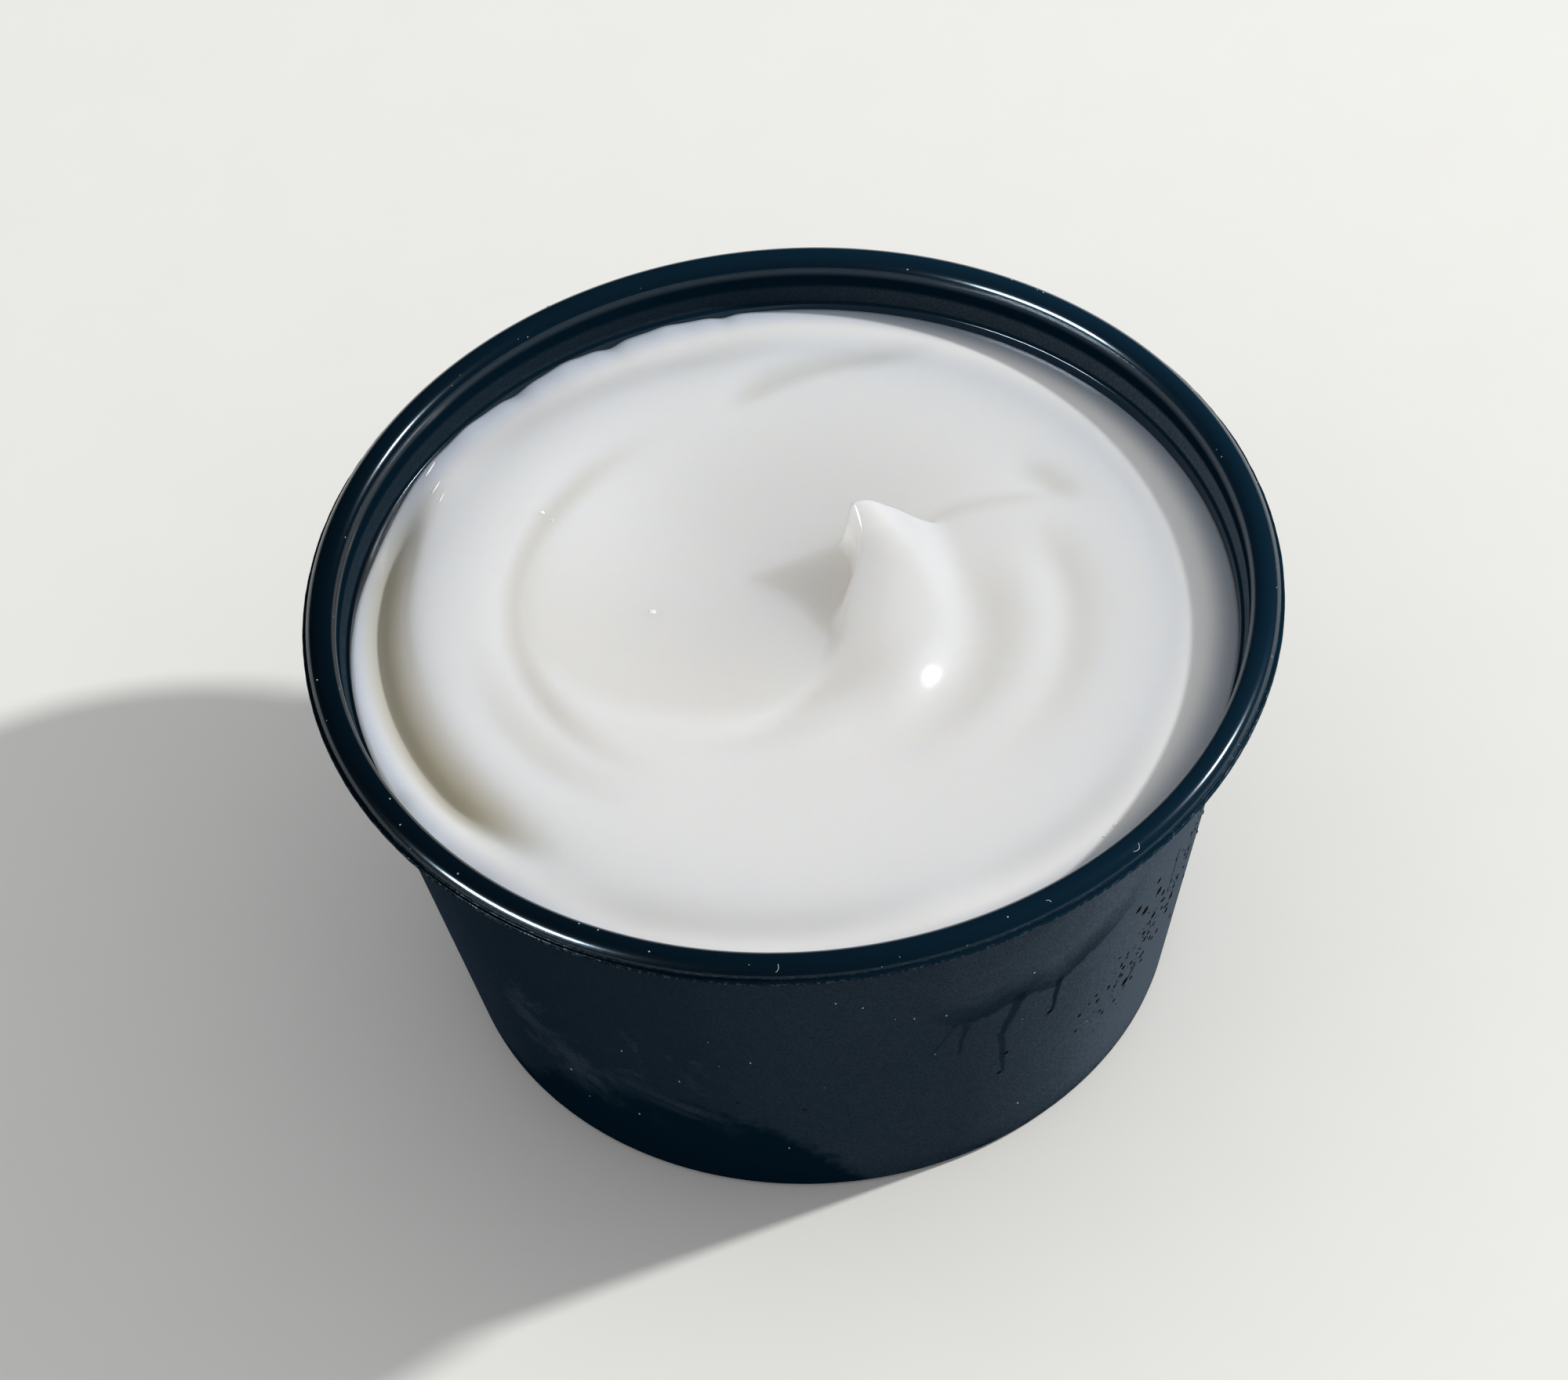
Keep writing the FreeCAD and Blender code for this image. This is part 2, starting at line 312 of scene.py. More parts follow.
def grow(obj, name, build, material, sizes):
    """Runs a geometry tree on an object and keeps the result as the object's plain mesh."""
    tree, given = new_tree(name, build, material, sizes)
    modifier = obj.modifiers.new(name, "NODES")
    modifier.node_group = tree
    for identifier, value in given.items():
        modifier[identifier] = value
    state = bpy.context.evaluated_depsgraph_get()
    mesh = bpy.data.meshes.new_from_object(obj.evaluated_get(state), depsgraph=state)
    obj.modifiers.remove(modifier)
    old = obj.data
    obj.data = mesh
    mesh.name = obj.name
    bpy.data.meshes.remove(old)


def linked(name, data):
    """A new linked object that holds a mesh, a camera or a light."""
    obj = bpy.data.objects.new(name, data)
    bpy.context.collection.objects.link(obj)
    return obj


def mesh_object(name, verts, edges, faces):
    """A new mesh object from plain lists."""
    mesh = bpy.data.meshes.new(name)
    mesh.from_pydata(verts, edges, faces)
    mesh.update()
    return linked(name, mesh)


def grid_faces(steps, start):
    """Four-sided faces of a square grid of points, counted from start."""
    return [(start + i * steps + j, start + (i + 1) * steps + j, start + (i + 1) * steps + j + 1,
             start + i * steps + j + 1) for i in range(steps - 1) for j in range(steps - 1)]


def smooth_faces(mesh):
    """Shades every face smoothly."""
    mesh.polygons.foreach_set("use_smooth", [True] * len(mesh.polygons))


def mark_points(mesh, label, values):
    """Gives the mesh a number at every point."""
    mesh.attributes.new(label, "FLOAT", "POINT").data.foreach_set("value", values)


def outward(mesh):
    """Turns every face round if the closed mesh encloses a negative volume."""
    mesh.calc_loop_triangles()
    spots = np.empty(len(mesh.vertices) * 3)
    mesh.vertices.foreach_get("co", spots)
    corners = np.empty(len(mesh.loop_triangles) * 3, dtype=np.int32)
    mesh.loop_triangles.foreach_get("vertices", corners)
    a, b, c = spots.reshape(-1, 3)[corners.reshape(-1, 3)].transpose(1, 0, 2)
    if np.einsum("ij,ij->i", a, np.cross(b, c)).sum() < 0.0:
        mesh.flip_normals()


def weld(mesh):
    """Joins the points that lie on one another."""
    work = bmesh.new()
    work.from_mesh(mesh)
    bmesh.ops.remove_doubles(work, verts=work.verts, dist=0.0001 * MM)
    work.to_mesh(mesh)
    work.free()


def declare(obj, node=None):
    """Tells the frame what a finished piece rides on and stands for."""
    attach(obj, BODY)
    if node:
        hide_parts(node)


def ball_nodes(graph, given):
    """Sets one small ball on every point, turned to its 'facing' and stretched by its 'size'."""
    facing = graph.named("facing", "FLOAT_VECTOR")
    along, across, tall = graph.split(graph.named("size", "FLOAT_VECTOR"))
    turned = graph.node("FunctionNodeAlignRotationToVector", {"Vector": facing}, axis="Z")
    ball = graph.node("GeometryNodeMeshIcoSphere",
                      {"Radius": 1.0, "Subdivisions": given.out("Detail")})
    scale = graph.join(along, across, tall * given.out("Flatness"))
    return graph.node("GeometryNodeInstanceOnPoints",
                      {"Points": given, "Instance": ball, "Rotation": turned, "Scale": scale})


def scatter(name, spots, material, flatness):
    """A piece made of small balls: each spot is a place, a facing and three half sizes."""
    piece = mesh_object(name, [tuple(place) for place, _, _ in spots], [], [])
    for label, index in (("facing", 1), ("size", 2)):
        values = piece.data.attributes.new(label, "FLOAT_VECTOR", "POINT")
        values.data.foreach_set("vector", [part for spot in spots for part in spot[index]])
    grow(piece, "tub_scatter", ball_nodes, material, {"Detail": 2, "Flatness": flatness})
    smooth_faces(piece.data)
    declare(piece)


# ---------------------------------------------------------------- cup
class CupForm:
    """The cup's derived sizes, in metres."""

    def __init__(self, sizes):
        self.sizes = sizes
        self.bead_r = sizes.lip_radius - sizes.bead_inset
        self.bead_z = sizes.height - sizes.bead_radius
        self.collar_top = self.bead_r - sizes.bead_radius
        self.collar_foot = self.collar_top - sizes.collar_lean
        self.ledge_z = sizes.height - sizes.ledge_depth
        self.inner_top = self.collar_foot - sizes.ledge_width
        self.inner_top_z = self.ledge_z - sizes.ledge_fall
        self.slope = (self.inner_top + sizes.wall - sizes.base_radius) / self.inner_top_z
        self.flat_wall = sizes.wall * math.sqrt(1.0 + self.slope ** 2)
        self.floor_z = sizes.panel_lift + sizes.floor_thickness

    def outer(self, z):
        """Radius of the outside wall at a height."""
        return self.sizes.base_radius + z * self.slope

    def inner(self, z):
        """Radius of the inside wall at a height."""
        return self.outer(z) - self.flat_wall


def sweep(centre, radius, start, end, steps):
    """Points along an arc in the profile plane, angles in degrees."""
    turns = [math.radians(start + (end - start) * i / steps) for i in range(steps + 1)]
    return [(centre[0] + radius * math.cos(t), centre[1] + radius * math.sin(t)) for t in turns]


def rounded(before, at, after, radius, steps):
    """Points of a fillet at a corner between two straight runs."""
    here = Vector(at)
    a = (Vector(before) - here).normalized()
    b = (Vector(after) - here).normalized()
    half = 0.5 * a.angle(b)
    centre = here + (a + b).normalized() * (radius / math.sin(half))
    first = here + a * (radius / math.tan(half)) - centre
    turn = math.pi - 2.0 * half
    side = 1.0 if a.cross(b) < 0.0 else -1.0
    spin = [Matrix.Rotation(side * turn * i / steps, 2) for i in range(steps + 1)]
    return [tuple(centre + step @ first) for step in spin]


def run(start, end, steps):
    """Evenly spaced points after start up to end."""
    return [(start[0] + (end[0] - start[0]) * i / steps, start[1] + (end[1] - start[1]) * i / steps)
            for i in range(1, steps + 1)]


SOFT_CORNER = 0.12 * MM  # the cup's small fillets
BEAD_CORNER = 0.03 * MM  # where the bead meets the lip


def cup_profile(form):
    """Outline of the cup's section from the inside floor's centre round to the underside."""
    s = form.sizes
    hollow = s.bead_radius - s.wall
    lip_top = form.bead_z + s.lip_rise
    lip_low = lip_top - s.lip_thickness
    rise = math.degrees(math.asin(s.lip_rise / s.bead_radius))
    low_angle = math.degrees(math.asin((lip_low - form.bead_z) / hollow))
    ledge_under = form.inner_top_z - s.wall
    floor = (0.0, form.floor_z)
    corner = (form.inner(form.floor_z), form.floor_z)
    top = (form.inner_top, form.inner_top_z)
    ledge = (form.collar_foot, form.ledge_z)
    collar = (form.collar_top, form.bead_z)
    bead = (form.bead_r, form.bead_z)
    bead_end = sweep(bead, s.bead_radius, rise + 6.0, rise, 1)[0]
    out_side = (form.bead_r + math.sqrt(s.bead_radius ** 2 - s.lip_rise ** 2), lip_top)
    lip_up = (s.lip_radius, lip_top)
    lip_down = (s.lip_radius, lip_low)
    low_side = (form.bead_r + math.sqrt(hollow ** 2 - (lip_low - form.bead_z) ** 2), lip_low)
    under_collar = (form.collar_foot + s.wall, form.ledge_z - s.wall)
    under_wall = (form.outer(ledge_under), ledge_under)
    foot = (s.base_radius, 0.0)
    ring = (s.base_radius - s.foot_fillet - s.ring_width, 0.0)
    panel = (ring[0] - s.panel_lift, s.panel_lift)
    middle = (0.0, s.panel_lift)
    points = [floor] + rounded(floor, corner, top, s.inner_fillet, 8)
    points += run(points[-1], top, 24)[:-1]
    points += rounded(points[-1], top, ledge, SOFT_CORNER, 4)
    points += rounded(top, ledge, collar, SOFT_CORNER, 4)
    points += run(points[-1], collar, 6)[:-1]
    points += sweep(bead, s.bead_radius, 180.0, rise, 36)[:-1]
    points += rounded(bead_end, out_side, lip_up, BEAD_CORNER, 2)
    points += rounded(out_side, lip_up, lip_down, SOFT_CORNER, 4)
    points += rounded(lip_up, lip_down, low_side, SOFT_CORNER, 4)
    points += sweep(bead, hollow, low_angle, 180.0, 16)
    points += run(points[-1], under_collar, 4)[:-1]
    points += rounded(points[-1], under_collar, under_wall, SOFT_CORNER, 3)
    points += rounded(under_collar, under_wall, foot, SOFT_CORNER, 3)
    heel = rounded(under_wall, foot, (0.0, 0.0), s.foot_fillet, 8)
    points += run(points[-1], heel[0], 40)[:-1] + heel
    points += rounded(heel[-1], ring, panel, SOFT_CORNER, 3)
    points += rounded(ring, panel, middle, SOFT_CORNER, 3)
    return points + [middle]


RAGGED_WIDTH = 0.3 * MM  # how much of the lip is trimmed raggedly
RAGGED_SCALE = 900.0  # quick wander of the trimmed edge: scale, then detail and roughness
RAGGED_FINE = (3, 0.6)
RAGGED_SLOW = (160, 1, 0.5)  # the same three for the slow wander
WELD = 0.002 * MM  # points nearer than this are joined


def lathe_nodes(graph, given):
    """Turns a profile about the Z axis; a 'ragged' attribute marks the points that wander."""
    profile, sides = given.out("Geometry"), given.out("Sides")
    count = graph.node("GeometryNodeAttributeDomainSize", {0: profile}, component="MESH")
    columns = sides + 1.0
    grid = graph.node("GeometryNodeMeshGrid",
                      {"Vertices X": count.out("Point Count"), "Vertices Y": columns})
    index = graph.node("GeometryNodeInputIndex").out()
    row = (index / columns).floor()
    angle = (index - row * columns) / sides * (2.0 * math.pi)
    spot = graph.node("GeometryNodeInputPosition")
    place, wander = [
        graph.node("GeometryNodeSampleIndex", {"Geometry": profile, "Value": value, "Index": row},
                   data_type=kind, domain="POINT").out()
        for kind, value in (("FLOAT_VECTOR", spot), ("FLOAT", graph.named("ragged", "FLOAT")))]
    radius, _, height = graph.split(place)
    across, along = angle.cosine(), angle.sine()
    ring = graph.join(across * radius, along * radius, height)
    shake = abs(graph.noise(ring, given.out("Detail"), *RAGGED_FINE) - 0.5) * 2.0
    slow = abs(graph.noise(ring, *RAGGED_SLOW) - 0.5) * 1.4
    spread = (shake + slow) * given.out("Ragged") * wander
    reach = radius - spread
    final = graph.join(across * reach, along * reach, height - spread * 0.4)
    turned = graph.node("GeometryNodeSetPosition",
                        {"Geometry": grid.out("Mesh"), "Position": final})
    merged = graph.node("GeometryNodeMergeByDistance", {"Geometry": turned, "Distance": WELD})
    return graph.node("GeometryNodeSetShadeSmooth", {"Geometry": merged})


# noise fields: scale per metre, detail, roughness
DRIFT = (140, 3, 0.6)
FINE = (900, 4, 0.65)
GRAIN = (5200, 2, 0.7)
COARSE = (2600, 3, 0.6)
CLOUD = (55, 2, 0.5)
# the plastic's surfaces
MATT = {"Specular IOR Level": 0}
SATIN = {"IOR": 1.49, "Specular Tint": (0.72, 0.88, 1, 1)}
MATT_ROUGHNESS = 0.6
SATIN_ROUGHNESS = 0.16
PLASTIC_BUMP = {"Strength": 0.12, "Distance": 0.05 * MM}
# spans over which the plastic's masks come in, in mm unless MM is written
OUTSIDE_DEPTH = 0.3 * MM  # how far under the outside wall still counts as outside
OUTSIDE_SPAN = (0, 0.1 * MM)
WALL_END = (35.1, 35.6)  # up the wall, under the bead
COLLAR_RISE = (34.3, 34.9)  # up the matt collar above the ledge
COLLAR_FALL = (36.3, 37)
COLLAR_OUT = (0.15 * MM, 0.3 * MM)  # out from the collar's top
LIP_IN = (0.45 * MM, 0.2 * MM)  # in from the torn lip
# painted sheen: the spans along X and Y over which the rim's colour grows paler, and its shares
SHEEN_RIGHT = (-32, 30)  # along X and along Y, where the rim's colour grows paler
SHEEN_BACK = (5, 32)
SHEEN = (0.9, 0.4, 0.5)  # its share to the right, to the back and everywhere
SMEAR_SHARE = 0.3
FINE_RISE, GRAIN_RISE = 0.6, 0.25  # how far the two small noises stand up
TORN_HEIGHT = 14  # the torn lip's roughness against the grain's
TORN_DULL = 0.93  # how dull it is at most
TORN_SPAN, TORN_SHINE = (0.5, 0.62), 0.5  # where it still glints, and by how much
MIST_GRAIN = (0.74, 0.52)  # the mist's least, and what the grain adds
GRAIN_SPAN = (0.36, 0.64)


def plastic_material(looks, form):
    """Blue-black moulded plastic: mist, clear runs and smears outside, satin gloss elsewhere, and a
    painted sheen making the rim paler to the right and back.
    """
    material, graph = new_material("tub_plastic")
    place, x, y, z, radius = graph.place()
    angle = graph.maths("ARCTAN2", y, x) * (180.0 / math.pi)
    high = z / MM
    outside = (radius - (form.outer(0.0) - OUTSIDE_DEPTH + z * form.slope)).between(*OUTSIDE_SPAN)
    wall = outside * (1.0 - high.between(*WALL_END))
    drift, fine, grain, coarse = [graph.noise(place, *field)
                                  for field in (DRIFT, FINE, GRAIN, COARSE)]
    mist = mist_mask(graph, place, angle, high, drift, fine)
    clear = run_mask(angle, high, radius, drift)
    veil = (mist * (1.0 - clear)).most(smear_mask(graph, place, angle, high) * SMEAR_SHARE) * wall
    inner = 1.0 - radius.between(*[form.collar_top + part for part in COLLAR_OUT])
    collar = high.within(COLLAR_RISE, COLLAR_FALL) * inner
    torn = radius.between(*[form.sizes.lip_radius - part for part in LIP_IN])
    # painted sheen: the rim's colour is paler to the right and to the back
    right, back, even = SHEEN
    painted_sheen = (x / MM).between(*SHEEN_RIGHT) * right + (y / MM).between(*SHEEN_BACK) * back + even
    rim = graph.node("ShaderNodeVectorMath", {0: looks.rim, "Scale": painted_sheen}, operation="SCALE")
    base = graph.mix(wall.most(collar), rim.out(), looks.plastic)
    grainy = MIST_GRAIN[0] + grain.between(*GRAIN_SPAN) * MIST_GRAIN[1]
    tint = graph.mix(veil * grainy, base, looks.mist)
    height = fine * FINE_RISE + grain * (GRAIN_RISE + veil) + coarse * torn * TORN_HEIGHT
    bump = graph.node("ShaderNodeBump", {**PLASTIC_BUMP, "Height": height})
    dull = torn * (TORN_DULL - coarse.between(*TORN_SPAN) * TORN_SHINE)
    gloss = (1.0 - wall) * (1.0 - collar) * (1.0 - dull)
    matt = graph.skin(tint, MATT_ROUGHNESS, {"Normal": bump, **MATT})
    satin = graph.skin(base, SATIN_ROUGHNESS, {"Normal": bump, **SATIN})
    graph.surface(graph.node("ShaderNodeMixShader", {0: gloss, 1: matt, 2: satin}))
    return material


# lines round the wall: turn in degrees about the axis, height in mm
LINE_TOP = 40
MIST_LINE = ((-92, 16), (-84, 19.5), (-81.6, 20.7), (-79.5, 23.4), (-77.4, 23.8), (-73, 22),
             (-69.5, 21.6), (-65, 22.2), (-61, 21.9), (-57.6, 21), (-53, 22.1), (-49, 23),
             (-44, 24.6), (-38, 25.8), (-28, 26.5), (0, 23), (60, 22))
HAZE_LINE = ((-158, -3), (-144, 3), (-134, 9), (-120, 10.5), (-110, 12),
             (-100, 10), (-92, 5), (-84, -3), (60, -3))
# how thick the mist stands round the wall: turn in degrees, share
MIST_AMOUNT = ((-180, 0.26), (-170, 0.32), (-158, 0.3), (-150, 0.22), (-142, 0.13),
               (-134, 0.1), (-110, 0.13), (-102, 0.19), (-94, 0.22), (-78, 0.26),
               (-70, 0.3), (-62, 0.41), (-54, 0.52), (-46, 0.77), (-38, 0.97),
               (-30, 1.1), (10, 1), (60, 0.4), (90, 0.15), (140, 0.16), (180, 0.26))
WAVE = (1.6, 2.2)  # mm the mist line wanders, by the drift and by the fine noise
HAZE_WAVE = 2  # how much more the haze line wanders
# the wetter band above the mist line: turns it shows between, its edge, how it fades, and its tone
BAND_TURNS = ((-79, -70), (-52, -40))
BAND_EDGE, BAND_FADE, BAND_TONE = (-0.1, 0.15), (0.5, 4.6), (0.35, 0.95)
HAZE_EDGE = (-1.5, 1.5)
CLOUDY = (0.62, 0.4, 0.36)  # the mist's least, with more by the cloud and by the fine noise
FOOT_SPAN, FOOT_SHARE = (0.3, 4), 0.2
# water runs: turn at the bottom, top and bottom heights, degrees of lean, half width, strength
WATER_RUNS = ((-57.6, 21.6, 17.4, 0.6, 0.42, 0.8), (-65.6, 22.8, 17.6, 2.2, 0.66, 0.66),
              (-65.1, 18, 11.6, -0.6, 0.44, 0.58), (-72.2, 21.4, 17.3, 0.8, 0.4, 0.5),
              (-76.2, 22, 18.6, 3, 0.34, 0.3), (-32.9, 24, 18.6, 0.6, 0.24, 0.7),
              (-40.6, 12.6, 10.4, 1.8, 0.42, 0.7), (-18, 22, 12, 0.5, 0.4, 0.7),
              (3, 22.5, 15.5, 0.5, 0.36, 0.7))
RUN_EDGE = (0.4, 1.15)  # from full to none, in half widths from its middle
RUN_WANDER = 2  # degrees it wanders
# dried smears: turns and heights between which they show, and their streaks
SMEAR_TURNS = ((-155, -138), (-112, -98))
SMEAR_HEIGHTS = ((6, 11), (19, 25))
SMEAR_STREAKS = {"Scale": 90, "Detail": 5, "Roughness": 0.7, "Distortion": 0.9}
SMEAR_SPAN = (0.42, 0.66)


def round_wall(graph, angle, line, top):
    """A value that follows (turn, value) pairs round the wall; top fills the ramp."""
    first, last = line[0][0], line[-1][0]
    stops = [((turn - first) / (last - first), value / top) for turn, value in line]
    along = (angle - first) / (last - first)
    return graph.node("ShaderNodeValToRGB", {0: along}, stops=stops).out("Color") * top


def mist_mask(graph, place, angle, high, drift, fine):
    """Fine droplets all round, thickest on the right, with a wetter band above one wavy line."""
    wave = (drift - 0.5) * WAVE[0] + (fine - 0.5) * WAVE[1]
    amount = round_wall(graph, angle, MIST_AMOUNT, 1.0)
    above = high + wave - round_wall(graph, angle, MIST_LINE, LINE_TOP)
    tone = BAND_TONE[0] - (1.0 - above.between(*BAND_FADE)) * BAND_TONE[1]
    band = above.between(*BAND_EDGE) * angle.within(*BAND_TURNS) * tone
    low = high + wave * HAZE_WAVE - round_wall(graph, angle, HAZE_LINE, LINE_TOP)
    least, cloud, small = CLOUDY
    cloudy = least + graph.noise(place, *CLOUD) * cloud + fine * small
    foot = high.between(*FOOT_SPAN) * FOOT_SHARE + (1.0 - FOOT_SHARE)
    return amount * (1.0 + band) * low.between(*HAZE_EDGE) * cloudy * foot


def run_mask(angle, high, radius, drift):
    """Clear runs where drops have slid down through the mist."""
    total = None
    for turn, top, bottom, lean, width, share in WATER_RUNS:
        along = (high - bottom) / (top - bottom)
        wander = (drift - 0.5) * RUN_WANDER + along * lean
        off = abs(angle - turn - wander) * radius * (math.pi / 180.0 / MM)
        half = along.least(1.0).most(0.0) * (width * 0.5) + width * 0.5
        body = 1.0 - (off / half).between(*RUN_EDGE)
        one = body * high.within((bottom - 0.2, bottom + 0.3), (top, top + 0.5)) * share
        total = total.most(one) if total else one
    return total


def smear_mask(graph, place, angle, high):
    """Faint dried smears on the left of the front wall."""
    patch = angle.within(*SMEAR_TURNS) * high.within(*SMEAR_HEIGHTS)
    streaks = graph.node("ShaderNodeTexNoise", {"Vector": place, **SMEAR_STREAKS}).out(0)
    return patch * streaks.between(*SMEAR_SPAN)


class TUB_OT_cup(bpy.types.Operator):
    """Build the moulded cup with its rolled rim and trimmed lip"""

    bl_idname = "object.tub_cup"
    bl_label = "Tub Cup"

    def execute(self, context):
        sizes = context.scene.tub_cup_sizes
        form = CupForm(sizes)
        points = cup_profile(form)
        edges = [(i, i + 1) for i in range(len(points) - 1)]
        cup = mesh_object("tub_cup", [(r, 0.0, z) for r, z in points], edges, [])
        lip = sizes.lip_radius - RAGGED_WIDTH
        mark_points(cup.data, "ragged", [1.0 if r > lip else 0.0 for r, _ in points])
        grow(cup, "tub_lathe", lathe_nodes, plastic_material(context.scene.tub_looks, form),
             {"Sides": sizes.sides, "Ragged": sizes.ragged, "Detail": RAGGED_SCALE})
        outward(cup.data)
        declare(cup, "cup")
        return {"FINISHED"}


# ---------------------------------------------------------------- cream
SWIRL_RADIUS = 33.5  # radius the swirl's sizes are given for
MEET_RIGHT = -1.15  # cream's edge against the ledge, on +X
MEET_LEFT = -0.2  # and on -X
MENISCUS = 2  # width of the turn-down at the wall
BAND_RADII = (14, 28)  # the outer band rises between these radii

WELL_CENTRE = (-5, 6)
WELL_RADIUS = 18.5
WELL_STRETCH_BACK = 1.25
WELL_STRETCH_RIGHT = 1.25
WELL_STRETCH_FRONT = 0.85
WELL_ROUNDNESS = 2
WELL_SHADE = 0.62  # how strongly painted shade darkens its front, as in a crease
WELL_SHADE_FACE = (0.6, 0.8)  # the way its front with painted shade faces

LOBE_CENTRE = (-8, 1.5)
LOBE_START = 28  # degrees about the lobe's centre, at the lifted tip
LOBE_TURN = 153  # degrees the stroke runs back from the tip, clockwise
LOBE_BEHIND = 60  # degrees past the tip that still belong to it
LOBE_RADII = (14.4, 11.1, 12)  # at the tip, along the stroke, at its far end
LOBE_FLARE = 30  # degrees over which the edge swings out to the tip
LOBE_SPREAD = (50, 130)  # degrees over which the far end broadens
LOBE_FADE = 0.5
LOBE_TIP_SPAN = 16
LOBE_TIP_CURVE = 1.3
LOBE_EDGE_LEVEL = -1  # inner edge against the ledge, away from the tip
LOBE_TIP_ROUND = 0.45  # the tip's inner edge below its top
LOBE_RISE_WIDTH = 5
LOBE_TIP_RISE = 2.8
# the outer flank along the stroke, and how much more at the tip and at the far end
FLANK_FOOT = (13.5, 3.4, 3.5)
FLANK_WIDTH = (2.9, 3.8, 2)
INNER_CLIFF = 1
CLIFF_SPREAD = 0.6
CLIFF_START = 0.3
BACK_CLIFF = 1
CUT_LINE = 9  # the tip's back face stands on this line
CUT_LEAN = 0.05

# irregular places where the cream meets the wall: turn and half width in degrees, height
EDGE_NOTCHES = ((96, 1.4, -0.22), (104, 2, 0.16), (112, 1.6, -0.34), (119, 2.2, 0.2),
                (127, 1.8, -0.3), (136, 2.6, 0.18), (205, 1.8, -0.3), (213, 1.4, 0.2),
                (222, 2.2, -0.22))
NOTCH_REACH = 0.7  # how far in they reach, against the turn-down

# centre x, y; angles from, to; radii from, to; bulge; height; half widths inside, outside; fades
FOLDS = {
    "ridge_right": (2, -2, 38, -68, 17.4, 14.6, 0, 0.38, 2, 2.2, 0.3, 0.6),
    "trough_inner": (0, 0, 30, -80, 14.6, 15.2, 0, -0.4, 1.9, 1.8, 0.3, 0.5),
    "trough_outer": (2, -2, 36, -60, 20.2, 17.6, 0, -0.35, 1.5, 1.8, 0.2, 0.6),
    "pit_left": (0, 0, 143, 232, 33, 28.3, 0, -2, 1.6, 1.7, 0.25, 0.3),
    "ridge_left": (0, 0, 150, 235, 30.2, 25.5, 0, 0.3, 2.4, 1.4, 0.3, 0.4),
    "groove_left": (-8, 2, 85, 265, 20.4, 16.6, -5.2, -0.36, 1.2, 1, 0.25, 0.3),
    "crease_left": (-4, 0, 172, 250, 20.6, 18.4, 0, -0.4, 2, 1.3, 0.4, 0.5),
    "fold_back_outer": (0, 0, 150, 85, 32.6, 29.2, 0, -0.5, 2.2, 1.8, 0.3, 0.3),
    "fold_back_inner": (0, 0, 103, 64, 23.8, 30, 0, -0.7, 1.3, 1.3, 0.3, 0.3),
    "hollow_front": (0, 0, 225, 290, 31.5, 29.2, 0, -0.65, 2.2, 2, 0.3, 0.4),
    "hollow_right": (0, 0, -76, -25, 29.6, 28.9, 0, -0.4, 1.7, 1.6, 0.4, 0.4),
    "crease_tip": (5, -7.5, 75, 47, 17.8, 24.5, 0, -0.14, 1, 0.7, 0.2, 0.3),
    "dimple": (0, 0, 42, 22, 23.2, 24.8, 0, -0.4, 1.3, 1.2, 0.5, 0.4),
}
# the same sizes for the rib that stands on the lobe's outer side
LOBE_RIB = (0, 0, -2, -70, 10.5, 10.8, 0, 0.92, 3, 1.6, 0.5, 0.5)
FOLD_HEIGHT = 7  # where a fold's height stands in its sizes
# creases given painted shade, and how strongly
CREASE_SHADES = {"groove_left": 0.9, "crease_left": 0.4, "fold_back_outer": 0.5, "fold_back_inner": 0.5,
           "trough_outer": 0.5, "trough_inner": 0.35, "crease_tip": 0.4, "dimple": 0.6,
           "hollow_right": 0.35, "hollow_front": 0.3}


def smooth(t):
    """Smooth step from 0 to 1."""
    t = np.clip(t, 0.0, 1.0)
    return t * t * (3.0 - 2.0 * t)


def wrap(angle):
    """Angle brought into -180 to 180 degrees."""
    return (angle + 180.0) % 360.0 - 180.0


def polar(x, y, centre):
    """Distance and angle in degrees from a centre."""
    dx = x - centre[0]
    dy = y - centre[1]
    return np.hypot(dx, dy), np.degrees(np.arctan2(dy, dx))


def fold(x, y, sizes):
    """One raised or sunk fold: a soft ridge along an arc whose ends fade out."""
    cx, cy, a0, a1, r0, r1, bulge, height, inside, outside, fade_in, fade_out = sizes
    radius, angle = polar(x, y, (cx, cy))
    t = 0.5 + wrap(angle - 0.5 * (a0 + a1)) / (a1 - a0)
    off = radius - (r0 + (r1 - r0) * t + bulge * 4.0 * t * (1.0 - t))
    width = np.where(off < 0.0, inside, outside)
    return height * smooth(t / fade_in) * smooth((1.0 - t) / fade_out) * np.exp(-(off / width) ** 2)


